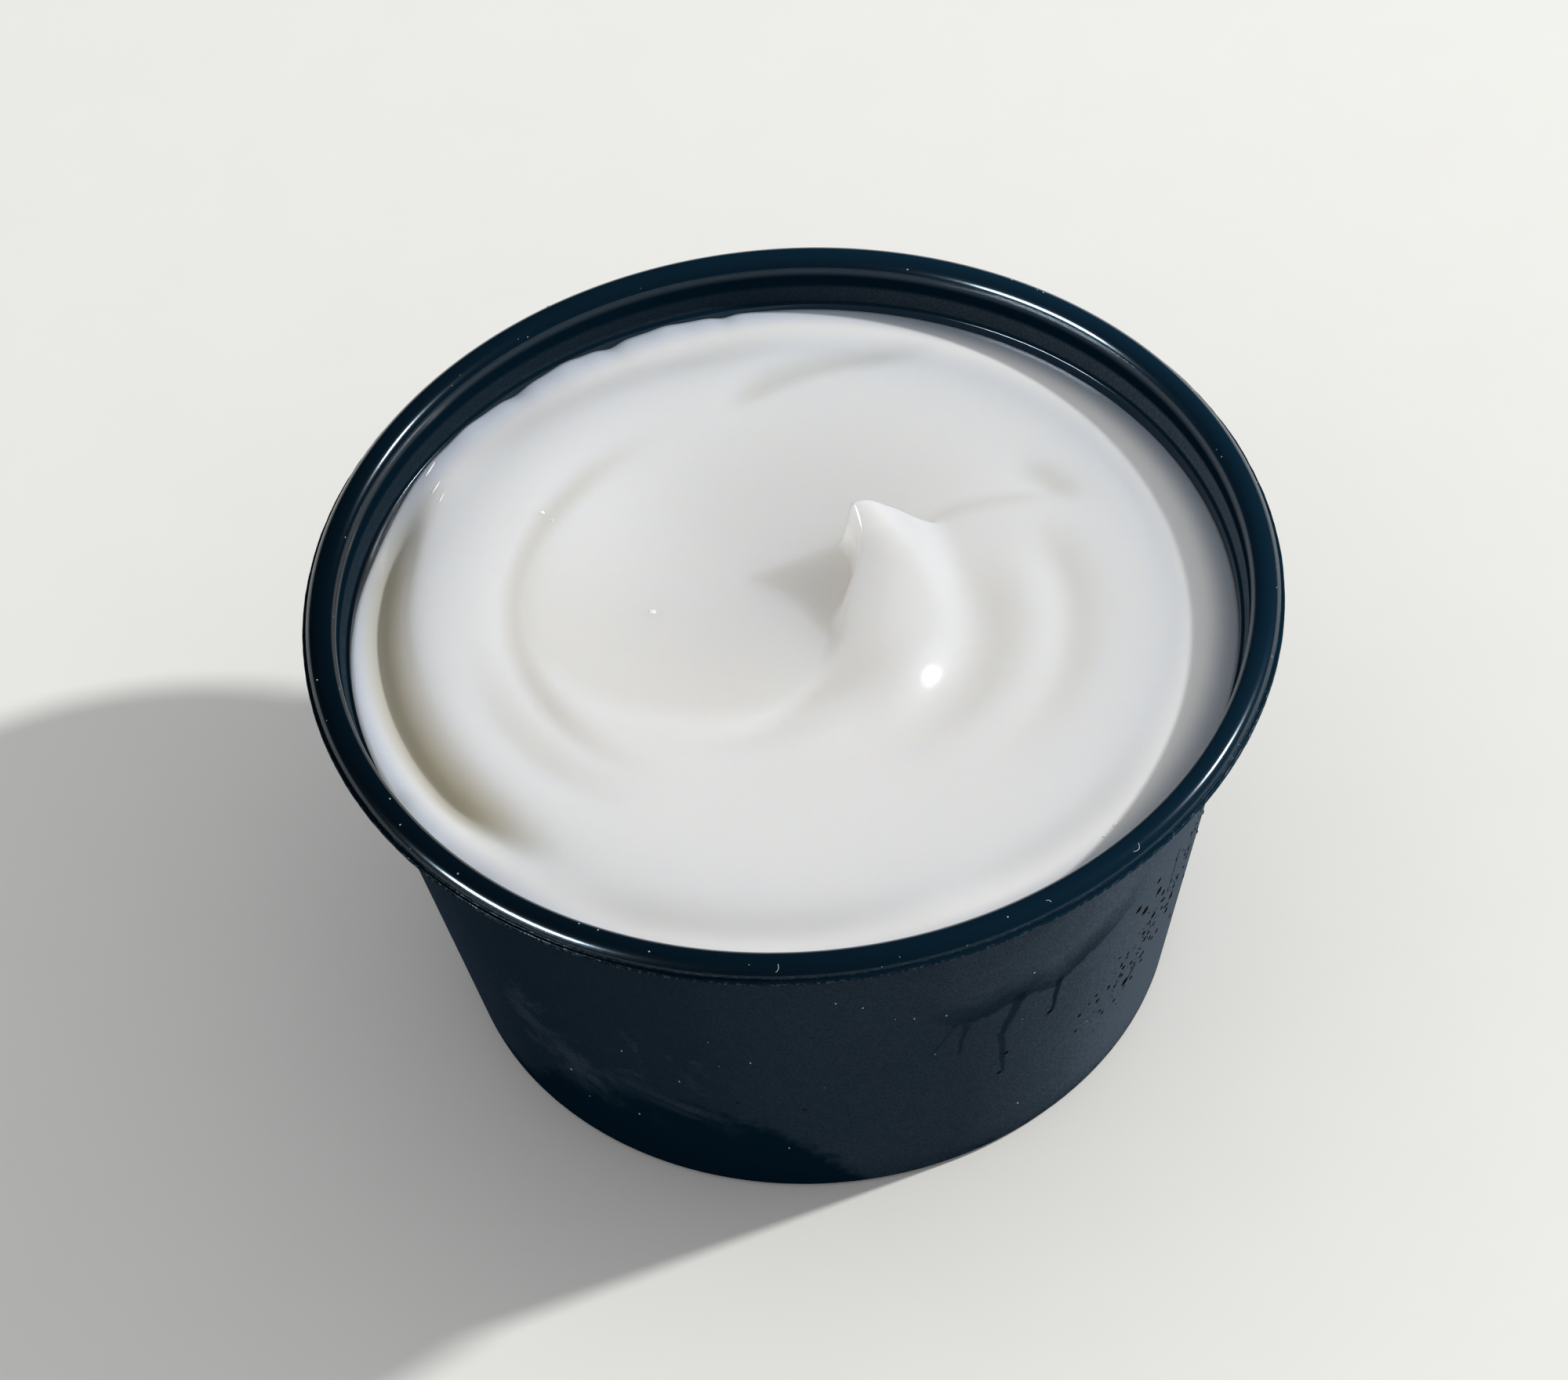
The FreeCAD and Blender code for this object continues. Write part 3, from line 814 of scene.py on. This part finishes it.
def lobe(x, y, sizes):
    """The last stroke: its top against the ledge, and how much of it shows."""
    radius, angle = polar(x, y, LOBE_CENTRE)
    ahead = np.maximum(0.0, (LOBE_START - angle + LOBE_BEHIND) % 360.0 - LOBE_BEHIND)
    left = 1.0 - np.minimum(1.0, ahead / LOBE_TURN)
    lifted = np.exp(-(ahead / LOBE_TIP_SPAN) ** LOBE_TIP_CURVE)
    spread = smooth((ahead - LOBE_SPREAD[0]) / (LOBE_SPREAD[1] - LOBE_SPREAD[0]))
    tip, middle, end = LOBE_RADII
    crest = tip + (middle - tip) * smooth(ahead / LOBE_FLARE)
    off = radius - crest - (end - middle) * spread
    edge = LOBE_EDGE_LEVEL + (sizes.peak_level - LOBE_TIP_ROUND - LOBE_EDGE_LEVEL) * lifted
    dome = sizes.lobe_level + (sizes.peak_level - sizes.lobe_level) * lifted
    top = edge + (dome - edge) * smooth(off / (LOBE_RISE_WIDTH - LOBE_TIP_RISE * lifted))
    foot, width = [along + at_tip * lifted + at_end * spread
                   for along, at_tip, at_end in (FLANK_FOOT, FLANK_WIDTH)]
    flank = smooth((foot - np.hypot(x, y)) / width)
    cliff = smooth(CLIFF_START + off / (INNER_CLIFF + CLIFF_SPREAD * smooth(ahead / LOBE_FLARE)))
    cut = smooth(0.5 + (CUT_LINE + CUT_LEAN * x - y) / BACK_CLIFF)
    return top, flank * cliff * cut * smooth(left / LOBE_FADE)


def well(x, y, sizes):
    """The spoon's hollow, drawn out toward the back and the right."""
    dx = x - WELL_CENTRE[0]
    dy = y - WELL_CENTRE[1]
    dx = np.where(dx > 0.0, dx / WELL_STRETCH_RIGHT, dx)
    dy = dy / np.where(dy > 0.0, WELL_STRETCH_BACK, WELL_STRETCH_FRONT)
    inside = np.maximum(0.0, 1.0 - (dx * dx + dy * dy) / WELL_RADIUS ** 2)
    return sizes.well_depth * inside ** WELL_ROUNDNESS


def cream_height(x, y, sizes):
    """Height of the cream's top against the ledge, in mm."""
    radius, angle = polar(x, y, (0.0, 0.0))
    side = np.cos(np.radians(angle))
    meet = 0.5 * (MEET_RIGHT + MEET_LEFT) + 0.5 * (MEET_RIGHT - MEET_LEFT) * side
    rise = smooth((radius - BAND_RADII[0]) / (BAND_RADII[1] - BAND_RADII[0]))
    level = sizes.level + sizes.band_rise * rise
    turn_down = np.exp(-np.maximum(0.0, SWIRL_RADIUS - radius) / MENISCUS)
    near = turn_down ** (1.0 / NOTCH_REACH)
    for turn, half, step in EDGE_NOTCHES:
        meet = meet + step * np.exp(-(wrap(angle - turn) / half) ** 2) * near
    z = level + (meet - level) * turn_down - well(x, y, sizes)
    for shape in FOLDS.values():
        z = z + fold(x, y, shape)
    top, shows = lobe(x, y, sizes)
    return z + (top - z) * shows + fold(x, y, LOBE_RIB)


def fold_depth(x, y, name):
    """How far down in one of the folds a place is, from 0 to 1."""
    return fold(x, y, FOLDS[name]) / FOLDS[name][FOLD_HEIGHT]


def crease_shade_share(x, y, sizes):
    """Share of painted shade in a shallow crease or on the well's front, from 0 to 1."""
    inside = np.sqrt(well(x, y, sizes) / sizes.well_depth)
    toward = WELL_SHADE_FACE[0] * (WELL_CENTRE[0] - x) + WELL_SHADE_FACE[1] * (WELL_CENTRE[1] - y)
    shade_share = WELL_SHADE * smooth(3.0 * inside) * smooth(1.3 * toward / WELL_RADIUS + 0.2)
    for name, share in CREASE_SHADES.items():
        shade_share = np.maximum(shade_share, share * fold_depth(x, y, name))
    return shade_share


def disc_grid(steps):
    """A square grid squeezed into the unit disc, so the middle has no pole."""
    line = np.linspace(-1.0, 1.0, steps)
    u, v = np.meshgrid(line, line, indexing="ij")
    return u * np.sqrt(1.0 - 0.5 * v * v), v * np.sqrt(1.0 - 0.5 * u * u)


def border(steps):
    """Indices of the grid's border in order round it."""
    last = steps - 1
    low = [i * steps for i in range(last)]
    right = [last * steps + j for j in range(last)]
    high = [i * steps + last for i in range(last, 0, -1)]
    left = [j for j in range(last, 0, -1)]
    return low + right + high + left


SIDE_HEIGHTS = (30, 22, 12)  # rings down the cream's side, in mm
CORNER_RISE = 1.5  # the last ring above the inside floor
CORNER_INSET = 1.1  # the bottom's edge in from the cup's wall
FLOOR_SUNK = 0.05  # the bottom under the inside floor


def cream_mesh(sizes, form):
    """Vertices and faces of the cream: swirled top, side against the wall, and bottom."""
    steps = sizes.steps
    u, v = disc_grid(steps)
    x = u * SWIRL_RADIUS
    y = v * SWIRL_RADIUS
    z = form.ledge_z / MM + cream_height(x, y, sizes)
    top = np.stack([x, y, z], -1).reshape(-1, 3)
    loop = border(steps)
    count = len(loop)
    turn = np.arctan2(top[loop, 1], top[loop, 0])
    reach = form.inner(top[loop, 2] * MM) / MM + sizes.into_wall
    top[loop, 0] = reach * np.cos(turn)
    top[loop, 1] = reach * np.sin(turn)
    faces = grid_faces(steps, 0)
    rings = [top]
    floor = form.floor_z / MM
    levels = [(high, sizes.into_wall) for high in (*SIDE_HEIGHTS, floor + CORNER_RISE)]
    for high, more in levels + [(floor - FLOOR_SUNK, -CORNER_INSET)]:
        r = form.inner(high * MM) / MM + more
        start = sum(len(ring) for ring in rings)
        rings.append(np.stack([r * np.cos(turn), r * np.sin(turn), np.full(count, high)], -1))
        new = list(range(start, start + count))
        faces += [(loop[(k + 1) % count], loop[k], new[k], new[(k + 1) % count])
                  for k in range(count)]
        loop = new
    faces.append(tuple(reversed(loop)))
    return np.concatenate(rings) * MM, faces


# the cream's surface
CREAM_ROUGHNESS = 0.22
CREAM_GLOW = {"IOR": 1.38, "Subsurface Weight": 1, "Subsurface Scale": 22 * MM,
              "Subsurface Radius": (1, 0.85, 0.65), "Specular IOR Level": 0.5}
CREAM_FINE = (1500, 3, 0.55)
CREAM_BUMP = {"Strength": 0.1, "Distance": 0.03 * MM}
BLACK = (0, 0, 0)
# where it is toned, spans in mm up, out from the axis and along X, each with its share: painted
# shade on the low parts and the tip's key-lit top, the edge colour, a painted shadow of the rim on
# the right, and the film
LOW_SHADE_SPAN, LOW_SHADE_SHARE, LOW_SHADE_TONE = (31, 33.8), 0.9, 0.93
PEAK_SHADE_SPAN, PEAK_SHADE_SHARE = (33.8, 35.8), 0.13
THIN_SPAN = (31, 33.2)
SHADED_OUT, SHADED_RIGHT, SHADED_SHARE = (30.8, 33), (0, 16), 0.35
FILM_OUT, FILM_RIGHT, FILM_LEAST, FILM_MORE = (28.2, 31.4), (-24, 4), 0.55, 0.27


def cream_material(looks):
    """Moist neutral white with light scattering far under the surface; painted shade darkens the
    low parts, the tip's top, the creases and the well's front, and darkens and warms the deep pit.
    """
    material, graph = new_material("tub_cream")
    place, x, y, z, reach = graph.place()
    right, high, radius = x / MM, z / MM, reach / MM
    pit_shade, crease_shade_mask = [graph.node("ShaderNodeAttribute", attribute_name=name).out("Fac")
                     for name in ("fold_depth", "crease_shade")]
    # painted shade: the low parts, the tip's key-lit top, the creases and the well's front are
    # darker, the deep pit darker and warmer
    low = 1.0 - high.between(*LOW_SHADE_SPAN)
    shade = graph.mix(low * LOW_SHADE_SHARE, looks.cream, [part * LOW_SHADE_TONE for part in looks.cream])
    shade = graph.mix(high.between(*PEAK_SHADE_SPAN) * PEAK_SHADE_SHARE, shade, BLACK)
    shade = graph.mix(crease_shade_mask, shade, looks.crease_shade)
    shade = graph.mix(pit_shade, shade, looks.fold)
    # edge colour beside the wall, partly painted shade; then a painted shadow of the rim near the
    # right wall
    thin = graph.mix(radius.between(*THIN_SPAN), looks.film, looks.edge)
    shaded = radius.between(*SHADED_OUT) * right.between(*SHADED_RIGHT) * SHADED_SHARE
    thin = graph.mix(shaded, thin, BLACK)
    thin = graph.mix(pit_shade, thin, looks.fold)
    bump = graph.node("ShaderNodeBump",
                      {**CREAM_BUMP, "Height": graph.noise(place, *CREAM_FINE)})
    body = graph.skin(shade, CREAM_ROUGHNESS, {"Normal": bump, **CREAM_GLOW})
    film = graph.skin(thin, CREAM_ROUGHNESS, {"Normal": bump, "IOR": CREAM_GLOW["IOR"]})
    share = radius.between(*FILM_OUT) * (FILM_LEAST + right.between(*FILM_RIGHT) * FILM_MORE)
    graph.surface(graph.node("ShaderNodeMixShader", {0: share, 1: body, 2: film}))
    return material


class TUB_OT_cream(bpy.types.Operator):
    """Build the swirled cream that fills the cup"""

    bl_idname = "object.tub_cream"
    bl_label = "Tub Cream"

    def execute(self, context):
        sizes = context.scene.tub_cream_sizes
        verts, faces = cream_mesh(sizes, CupForm(context.scene.tub_cup_sizes))
        cream = mesh_object("tub_cream", verts.tolist(), [], faces)
        smooth_faces(cream.data)
        cream.data.materials.append(cream_material(context.scene.tub_looks))
        count = sizes.steps ** 2
        x, y = verts[:count, 0] / MM, verts[:count, 1] / MM
        # painted shade shares kept on the points: the deep pit's depth and the creases'
        pit_shade = np.clip(fold_depth(x, y, "pit_left"), 0.0, 1.0)
        under = np.zeros(len(verts) - count)
        for label, top in (("fold_depth", pit_shade), ("crease_shade", crease_shade_share(x, y, sizes))):
            mark_points(cream.data, label, np.concatenate([top, under]))
        outward(cream.data)
        declare(cream, "sour_cream")
        return {"FINISHED"}


# ---------------------------------------------------------------- water, dust, fibres and nibs
# even materials: name, colour, roughness, other sockets
WATER = ("tub_water", (0.001, 0.003, 0.0055), 0.12, {"IOR": 1.33, "Specular IOR Level": 0.05})
DUST = ("tub_dust", (0.42, 0.47, 0.5), 0.8, {"Specular IOR Level": 0.2})
NIB = ("tub_nib", (0.76, 0.76, 0.757), 0.2, {"IOR": 1.38})
# single drops on the wall: turn in degrees, height and half width in mm
DROPS = (
    (-40.5, 11.6, 0.3), (-30, 16.5, 0.26), (-30.5, 14.9, 0.22), (-36.3, 18.1, 0.24),
    (-41.9, 22.5, 0.26), (-39.8, 21, 0.3), (-36.6, 21.6, 0.27), (-37.6, 23.6, 0.2),
    (-34.6, 20, 0.2), (-23, 14.4, 0.18), (-25.7, 11, 0.16), (-32.6, 13.5, 0.17),
    (-34.1, 13.5, 0.15), (-37.2, 15.4, 0.18), (-36.4, 13, 0.15), (-36.4, 11.9, 0.15),
    (-42.2, 14.6, 0.17), (-64.6, 14.4, 0.2), (-57.7, 17.3, 0.24), (-65.3, 11.7, 0.2),
    (-94.5, 12.9, 0.13), (-104, 13.6, 0.12),
)
DROP_SHAPE = (1.3, 1.4, 1)  # along, across and out, against the half width
DROP_FLATNESS = 0.5
SPRAY_SEED = 11
SPRAY_COUNT = 190
# the spray's line in degrees round and mm up: where it starts, its fall, and the spread round it
SPRAY_TURN = (-20, 27, 3)
SPRAY_HEIGHT = (25.5, 14.5, 1.6)
SPRAY_HALF = (0.06, 0.13, 2.2)  # smallest half width, what is added at most, and how rarely
SPRAY_LONG = (0.9, 1.4)
# specks of dust: on the wall by turn and height in mm, on the rim by turn and degrees over the bead
WALL_SPECKS = ((-89, 29.5), (-85.6, 28.3), (-78.9, 25.1), (-74.5, 24.2), (-61.8, 25.2),
               (-120.7, 7.7), (-97.5, 6.6), (-61.1, 5), (-131.9, 10), (-112, 15.6),
               (-120, 18), (-101, 20.4))
RIM_SPECKS = ((-110.2, 19), (-117, -20), (-119.5, -21), (-68.2, 20), (-150.5, -19),
              (-146.4, 19), (57.6, 24), (53, 20), (71, -48), (-172, 30),
              (-136, 20), (28, 40))
WALL_SPECK = (0.06, 0.085, 0.05)  # half sizes in mm
RIM_SPECK = (0.07, 0.06, 0.05)
DUST_SEED = 5
DUST_COUNT = 70
DUST_ON_RIM = 0.6  # share of the finer specks that lie on the rim
DUST_LONG = 1.4  # their length against their width
DUST_HALF = (0.02, 0.042)  # half width in mm
DUST_OVER = (20, 70)  # degrees over the bead, to either side
DUST_HIGH = (3, 32)  # mm up the wall
# fibres lying on the rim: turn, degrees over the bead, length and bow in mm, heading in degrees
FIBRES = ((117.8, 50, 1, 0.16, 80), (-50.3, 34, 0.8, 0.24, 20),
          (-95.4, 38, 0.6, 0.12, 75), (-63, 30, 0.4, 0.06, 140))
FIBRE_STEPS = 12
FIBRE_THICKNESS = 0.022 * MM
FIBRE_LIFT = 0.03  # their middle line above the rim, in mm
FIBRE_DROOP = 0.05  # how far their ends come down
# nibs of cream: plan place, half length, half width and height in mm, heading in degrees
NIBS = ((-18.6, 13.9, 0.24, 0.16, 0.1, 20), (-17.9, 13.2, 0.14, 0.12, 0.08, 0),
        (-27.1, 19.3, 1, 0.11, 0.06, 62), (-26.7, 17.2, 0.8, 0.1, 0.06, 60),
        (-26.3, 15.9, 0.6, 0.09, 0.05, 66), (22.1, -22.4, 0.3, 0.13, 0.1, 48),
        (21.2, -23.4, 0.16, 0.1, 0.08, 20), (-10.7, 4.3, 0.34, 0.28, 0.1, 10))
NIB_STEPS = 9
NIB_SUNK = 0.03  # how far they reach into the cream, in mm


def wall_spot(form, turn, high, size):
    """A place on the outside wall: turn in degrees, height in mm, half sizes in mm."""
    way = math.radians(turn)
    facing = around(way, 1.0, -form.slope).normalized()
    place = around(way, form.outer(high * MM), high * MM)
    return place, facing, [part * MM for part in size]


def rim_spot(form, turn, over, size):
    """A place on the bead: degrees round the axis, and degrees outward over the bead."""
    way, tip = math.radians(turn), math.radians(over)
    bead = form.sizes.bead_radius
    place = around(way, form.bead_r + bead * math.sin(tip), form.bead_z + bead * math.cos(tip))
    return place, around(way, math.sin(tip), math.cos(tip)), [part * MM for part in size]


def spray(form):
    """Finer drops along the falling edge of the mist, at the right of the wall."""
    chance = random.Random(SPRAY_SEED)
    spots = []
    for _ in range(SPRAY_COUNT):
        along = chance.random()
        turn, high = [first - fall * along + chance.gauss(0.0, spread)
                      for first, fall, spread in (SPRAY_TURN, SPRAY_HEIGHT)]
        half = SPRAY_HALF[0] + SPRAY_HALF[1] * chance.random() ** SPRAY_HALF[2]
        spots.append(wall_spot(form, turn, high, (half, half * chance.uniform(*SPRAY_LONG), half)))
    return spots


def dust_spots(form):
    """The placed specks and a thin scatter of finer ones on the rim and the wall."""
    chance = random.Random(DUST_SEED)
    spots = [wall_spot(form, turn, high, WALL_SPECK) for turn, high in WALL_SPECKS]
    spots += [rim_spot(form, turn, over, RIM_SPECK) for turn, over in RIM_SPECKS]
    for _ in range(DUST_COUNT):
        half = chance.uniform(*DUST_HALF)
        size = (half, half * DUST_LONG, half)
        turn = chance.uniform(-180.0, 180.0)
        if chance.random() < DUST_ON_RIM:
            over = chance.uniform(*DUST_OVER) * chance.choice((-1.0, 1.0))
            spots.append(rim_spot(form, turn, over, size))
        else:
            spots.append(wall_spot(form, turn, chance.uniform(*DUST_HIGH), size))
    return spots


class TUB_OT_water(bpy.types.Operator):
    """Set the drops of water on the outside wall"""

    bl_idname = "object.tub_water"
    bl_label = "Tub Water"

    def execute(self, context):
        form = CupForm(context.scene.tub_cup_sizes)
        spots = [wall_spot(form, turn, high, [half * share for share in DROP_SHAPE])
                 for turn, high, half in DROPS]
        scatter("tub_water", spots + spray(form), even_material(*WATER), DROP_FLATNESS)
        return {"FINISHED"}


class TUB_OT_dust(bpy.types.Operator):
    """Set the specks of dust on the rim and the wall"""

    bl_idname = "object.tub_dust"
    bl_label = "Tub Dust"

    def execute(self, context):
        form = CupForm(context.scene.tub_cup_sizes)
        scatter("tub_dust", dust_spots(form), even_material(*DUST), 1.0)
        return {"FINISHED"}


def thread_nodes(graph, given):
    """Turns edges into thin round threads."""
    line = graph.node("GeometryNodeMeshToCurve", {"Mesh": given})
    ring = graph.node("GeometryNodeCurvePrimitiveCircle",
                      {"Resolution": 6, "Radius": given.out("Thickness")})
    return graph.node("GeometryNodeCurveToMesh",
                      {"Curve": line, "Profile Curve": ring, "Fill Caps": True})


class TUB_OT_fibres(bpy.types.Operator):
    """Lay a few short fibres on the rim"""

    bl_idname = "object.tub_fibres"
    bl_label = "Tub Fibres"

    def execute(self, context):
        form = CupForm(context.scene.tub_cup_sizes)
        verts, edges = [], []
        for turn, over, span, bow, heading in FIBRES:
            place, facing, _ = rim_spot(form, turn, over, ())
            aside = facing.cross(Vector((0.0, 0.0, 1.0))).normalized()
            way = math.radians(heading)
            along = aside * math.cos(way) + facing.cross(aside) * math.sin(way)
            across = facing.cross(along)
            for i in range(FIBRE_STEPS + 1):
                t = 2.0 * i / FIBRE_STEPS - 1.0
                swing = along * (0.5 * span * t) + across * (bow * (1.0 - t * t))
                swing = swing - facing * (FIBRE_DROOP * abs(t))
                verts.append(tuple(place + (swing + facing * FIBRE_LIFT) * MM))
                if i:
                    edges.append((len(verts) - 2, len(verts) - 1))
        fibres = mesh_object("tub_fibres", verts, edges, [])
        grow(fibres, "tub_threads", thread_nodes, even_material(*DUST),
             {"Thickness": FIBRE_THICKNESS})
        declare(fibres)
        return {"FINISHED"}


class TUB_OT_nibs(bpy.types.Operator):
    """Raise a few small nibs and smears on the cream"""

    bl_idname = "object.tub_nibs"
    bl_label = "Tub Nibs"

    def execute(self, context):
        ledge = CupForm(context.scene.tub_cup_sizes).ledge_z / MM
        u, v = disc_grid(NIB_STEPS)
        dome = np.sqrt(np.clip(1.0 - u * u - v * v, 0.0, 1.0))
        verts, faces = [], []
        for x, y, long, wide, tall, heading in NIBS:
            way = math.radians(heading)
            px = x + long * u * math.cos(way) - wide * v * math.sin(way)
            py = y + long * u * math.sin(way) + wide * v * math.cos(way)
            lift = ledge + cream_height(px, py, context.scene.tub_cream_sizes) - NIB_SUNK
            for side in (1, -1):
                faces += [face[::side] for face in grid_faces(NIB_STEPS, len(verts))]
                high = lift + side * dome * (tall + NIB_SUNK)
                verts += np.stack([px, py, high], -1).reshape(-1, 3).tolist()
        scaled = [tuple(part * MM for part in vert) for vert in verts]
        nibs = mesh_object("tub_nibs", scaled, [], faces)
        weld(nibs.data)
        smooth_faces(nibs.data)
        nibs.data.materials.append(even_material(*NIB))
        declare(nibs)
        return {"FINISHED"}


# ---------------------------------------------------------------- stage
CAMERA_RISE = 48.79  # degrees above the floor
CAMERA_ROLL = -4.93
CAMERA_REACH = 472.18 * MM  # to the rim's centre
CAMERA = {"lens": 144, "sensor_width": 36, "clip_start": 0.01}
# the rim's centre: its height, and how far right of and above the view's middle it lies
AIM_HEIGHT = 36.35 * MM
AIM_RIGHT = 0.623 * MM
AIM_UP = 6.682 * MM
# lights, and their distance in metres, turn from +X toward +Y and angle above the floor
KEY = {"shape": "DISK", "size": 0.1, "color": (1, 0.985, 0.96)}
KEY_PLACE = (1.88, 9.7, 35.4)
WINDOW = {"shape": "RECTANGLE", "size": 0.8, "size_y": 0.3, "color": (0.86, 0.94, 1)}
WINDOW_PLACE = (1.6, -154, 23)
SKY = (0.975, 0.98, 0.985, 1)
FLOOR_REACH = 1.5
FLOOR_MOTTLE = (120, 3, 0.6)
FLOOR_TONE = 0.97


def add_camera():
    """Camera at the tub's viewing angle."""
    rise = math.radians(CAMERA_RISE)
    roll = math.radians(CAMERA_ROLL)
    back = Vector((0.0, -math.cos(rise), math.sin(rise)))
    level = Vector((1.0, 0.0, 0.0))
    upright = back.cross(level)
    right = level * math.cos(roll) + upright * math.sin(roll)
    up = upright * math.cos(roll) - level * math.sin(roll)
    data = bpy.data.cameras.new("tub_camera")
    put(data, CAMERA)
    spot = Vector((0.0, 0.0, AIM_HEIGHT)) + back * CAMERA_REACH - right * AIM_RIGHT - up * AIM_UP
    turn = Matrix((right, up, back)).transposed().to_4x4()
    camera = linked("tub_camera", data)
    camera.matrix_world = Matrix.Translation(spot) @ turn
    bpy.context.scene.camera = camera


def add_light(name, settings, power, place):
    """An area light that looks back at the tub."""
    reach, turn, rise = place[0], math.radians(place[1]), math.radians(place[2])
    way = around(turn, math.cos(rise), math.sin(rise))
    data = bpy.data.lights.new(name, "AREA")
    put(data, {**settings, "energy": power})
    light = linked(name, data)
    light.location = way * reach
    light.rotation_euler = (-way).to_track_quat("-Z", "Y").to_euler()
    return light


def light_stage(looks):
    """A small key light, a low window seen only in reflections, and a soft sky seen in none."""
    add_light("tub_key", KEY, looks.key, KEY_PLACE)
    add_light("tub_window", WINDOW, looks.window, WINDOW_PLACE).visible_diffuse = False
    world = bpy.data.worlds.new("tub_world")
    world.use_nodes = True
    graph = Graph(world.node_tree)
    sky = graph.node("ShaderNodeBackground", {"Color": SKY, "Strength": looks.fill})
    graph.node("ShaderNodeOutputWorld", {"Surface": sky})
    bpy.context.scene.world = world
    world.cycles_visibility.glossy = False
    bpy.context.scene.view_settings.view_transform = "Standard"


def floor_material(looks):
    """Pale matt floor with a barely seen mottle."""
    material, graph = new_material("tub_floor")
    mottle = graph.noise(graph.node("ShaderNodeTexCoord").out("Object"), *FLOOR_MOTTLE)
    tone = graph.mix(mottle, looks.floor, [part * FLOOR_TONE for part in looks.floor])
    graph.surface(graph.skin(tone, 0.75, {"Specular IOR Level": 0.3}))
    return material


class TUB_OT_stage(bpy.types.Operator):
    """Lay the pale floor and set the lights and the camera"""

    bl_idname = "object.tub_stage"
    bl_label = "Tub Stage"

    def execute(self, context):
        looks = context.scene.tub_looks
        corners = [(x * FLOOR_REACH, y * FLOOR_REACH, 0.0)
                   for x, y in ((-1.0, -1.0), (1.0, -1.0), (1.0, 1.0), (-1.0, 1.0))]
        floor = mesh_object("tub_floor", corners, [], [(0, 1, 2, 3)])
        floor.data.materials.append(floor_material(looks))
        light_stage(looks)
        add_camera()
        return {"FINISHED"}


# ---------------------------------------------------------------- add-on
class TUB_PT_panel(bpy.types.Panel):
    """Sizes, colours and pieces of the tub"""

    bl_label = "Sour Cream Tub"
    bl_idname = "TUB_PT_panel"
    bl_space_type = "VIEW_3D"
    bl_region_type = "UI"
    bl_category = "Tub"

    def draw(self, context):
        for name, group in GROUPS.items():
            box = self.layout.box()
            for key in group.__annotations__:
                box.prop(getattr(context.scene, name), key)
        for piece in PIECES:
            self.layout.operator(piece.bl_idname)


PIECES = (TUB_OT_cup, TUB_OT_cream, TUB_OT_water, TUB_OT_dust, TUB_OT_fibres, TUB_OT_nibs,
          TUB_OT_stage)
GROUPS = {"tub_cup_sizes": TubCupSizes, "tub_cream_sizes": TubCreamSizes, "tub_looks": TubLooks}


def register():
    """Registers the classes and hangs the settings on the scene."""
    for group in GROUPS.values():
        bpy.utils.register_class(group)
    for piece in PIECES + (TUB_PT_panel,):
        bpy.utils.register_class(piece)
    for name, group in GROUPS.items():
        setattr(bpy.types.Scene, name, PointerProperty(type=group))


def unregister():
    """Takes the settings and the classes away again."""
    for name in GROUPS:
        delattr(bpy.types.Scene, name)
    for piece in (TUB_PT_panel,) + PIECES[::-1]:
        bpy.utils.unregister_class(piece)
    for group in GROUPS.values():
        bpy.utils.unregister_class(group)


def main():
    """Registers the add-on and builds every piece."""
    register()
    for piece in PIECES:
        getattr(bpy.ops.object, piece.bl_idname.split(".")[1])()


if __name__ == "__main__":
    main()
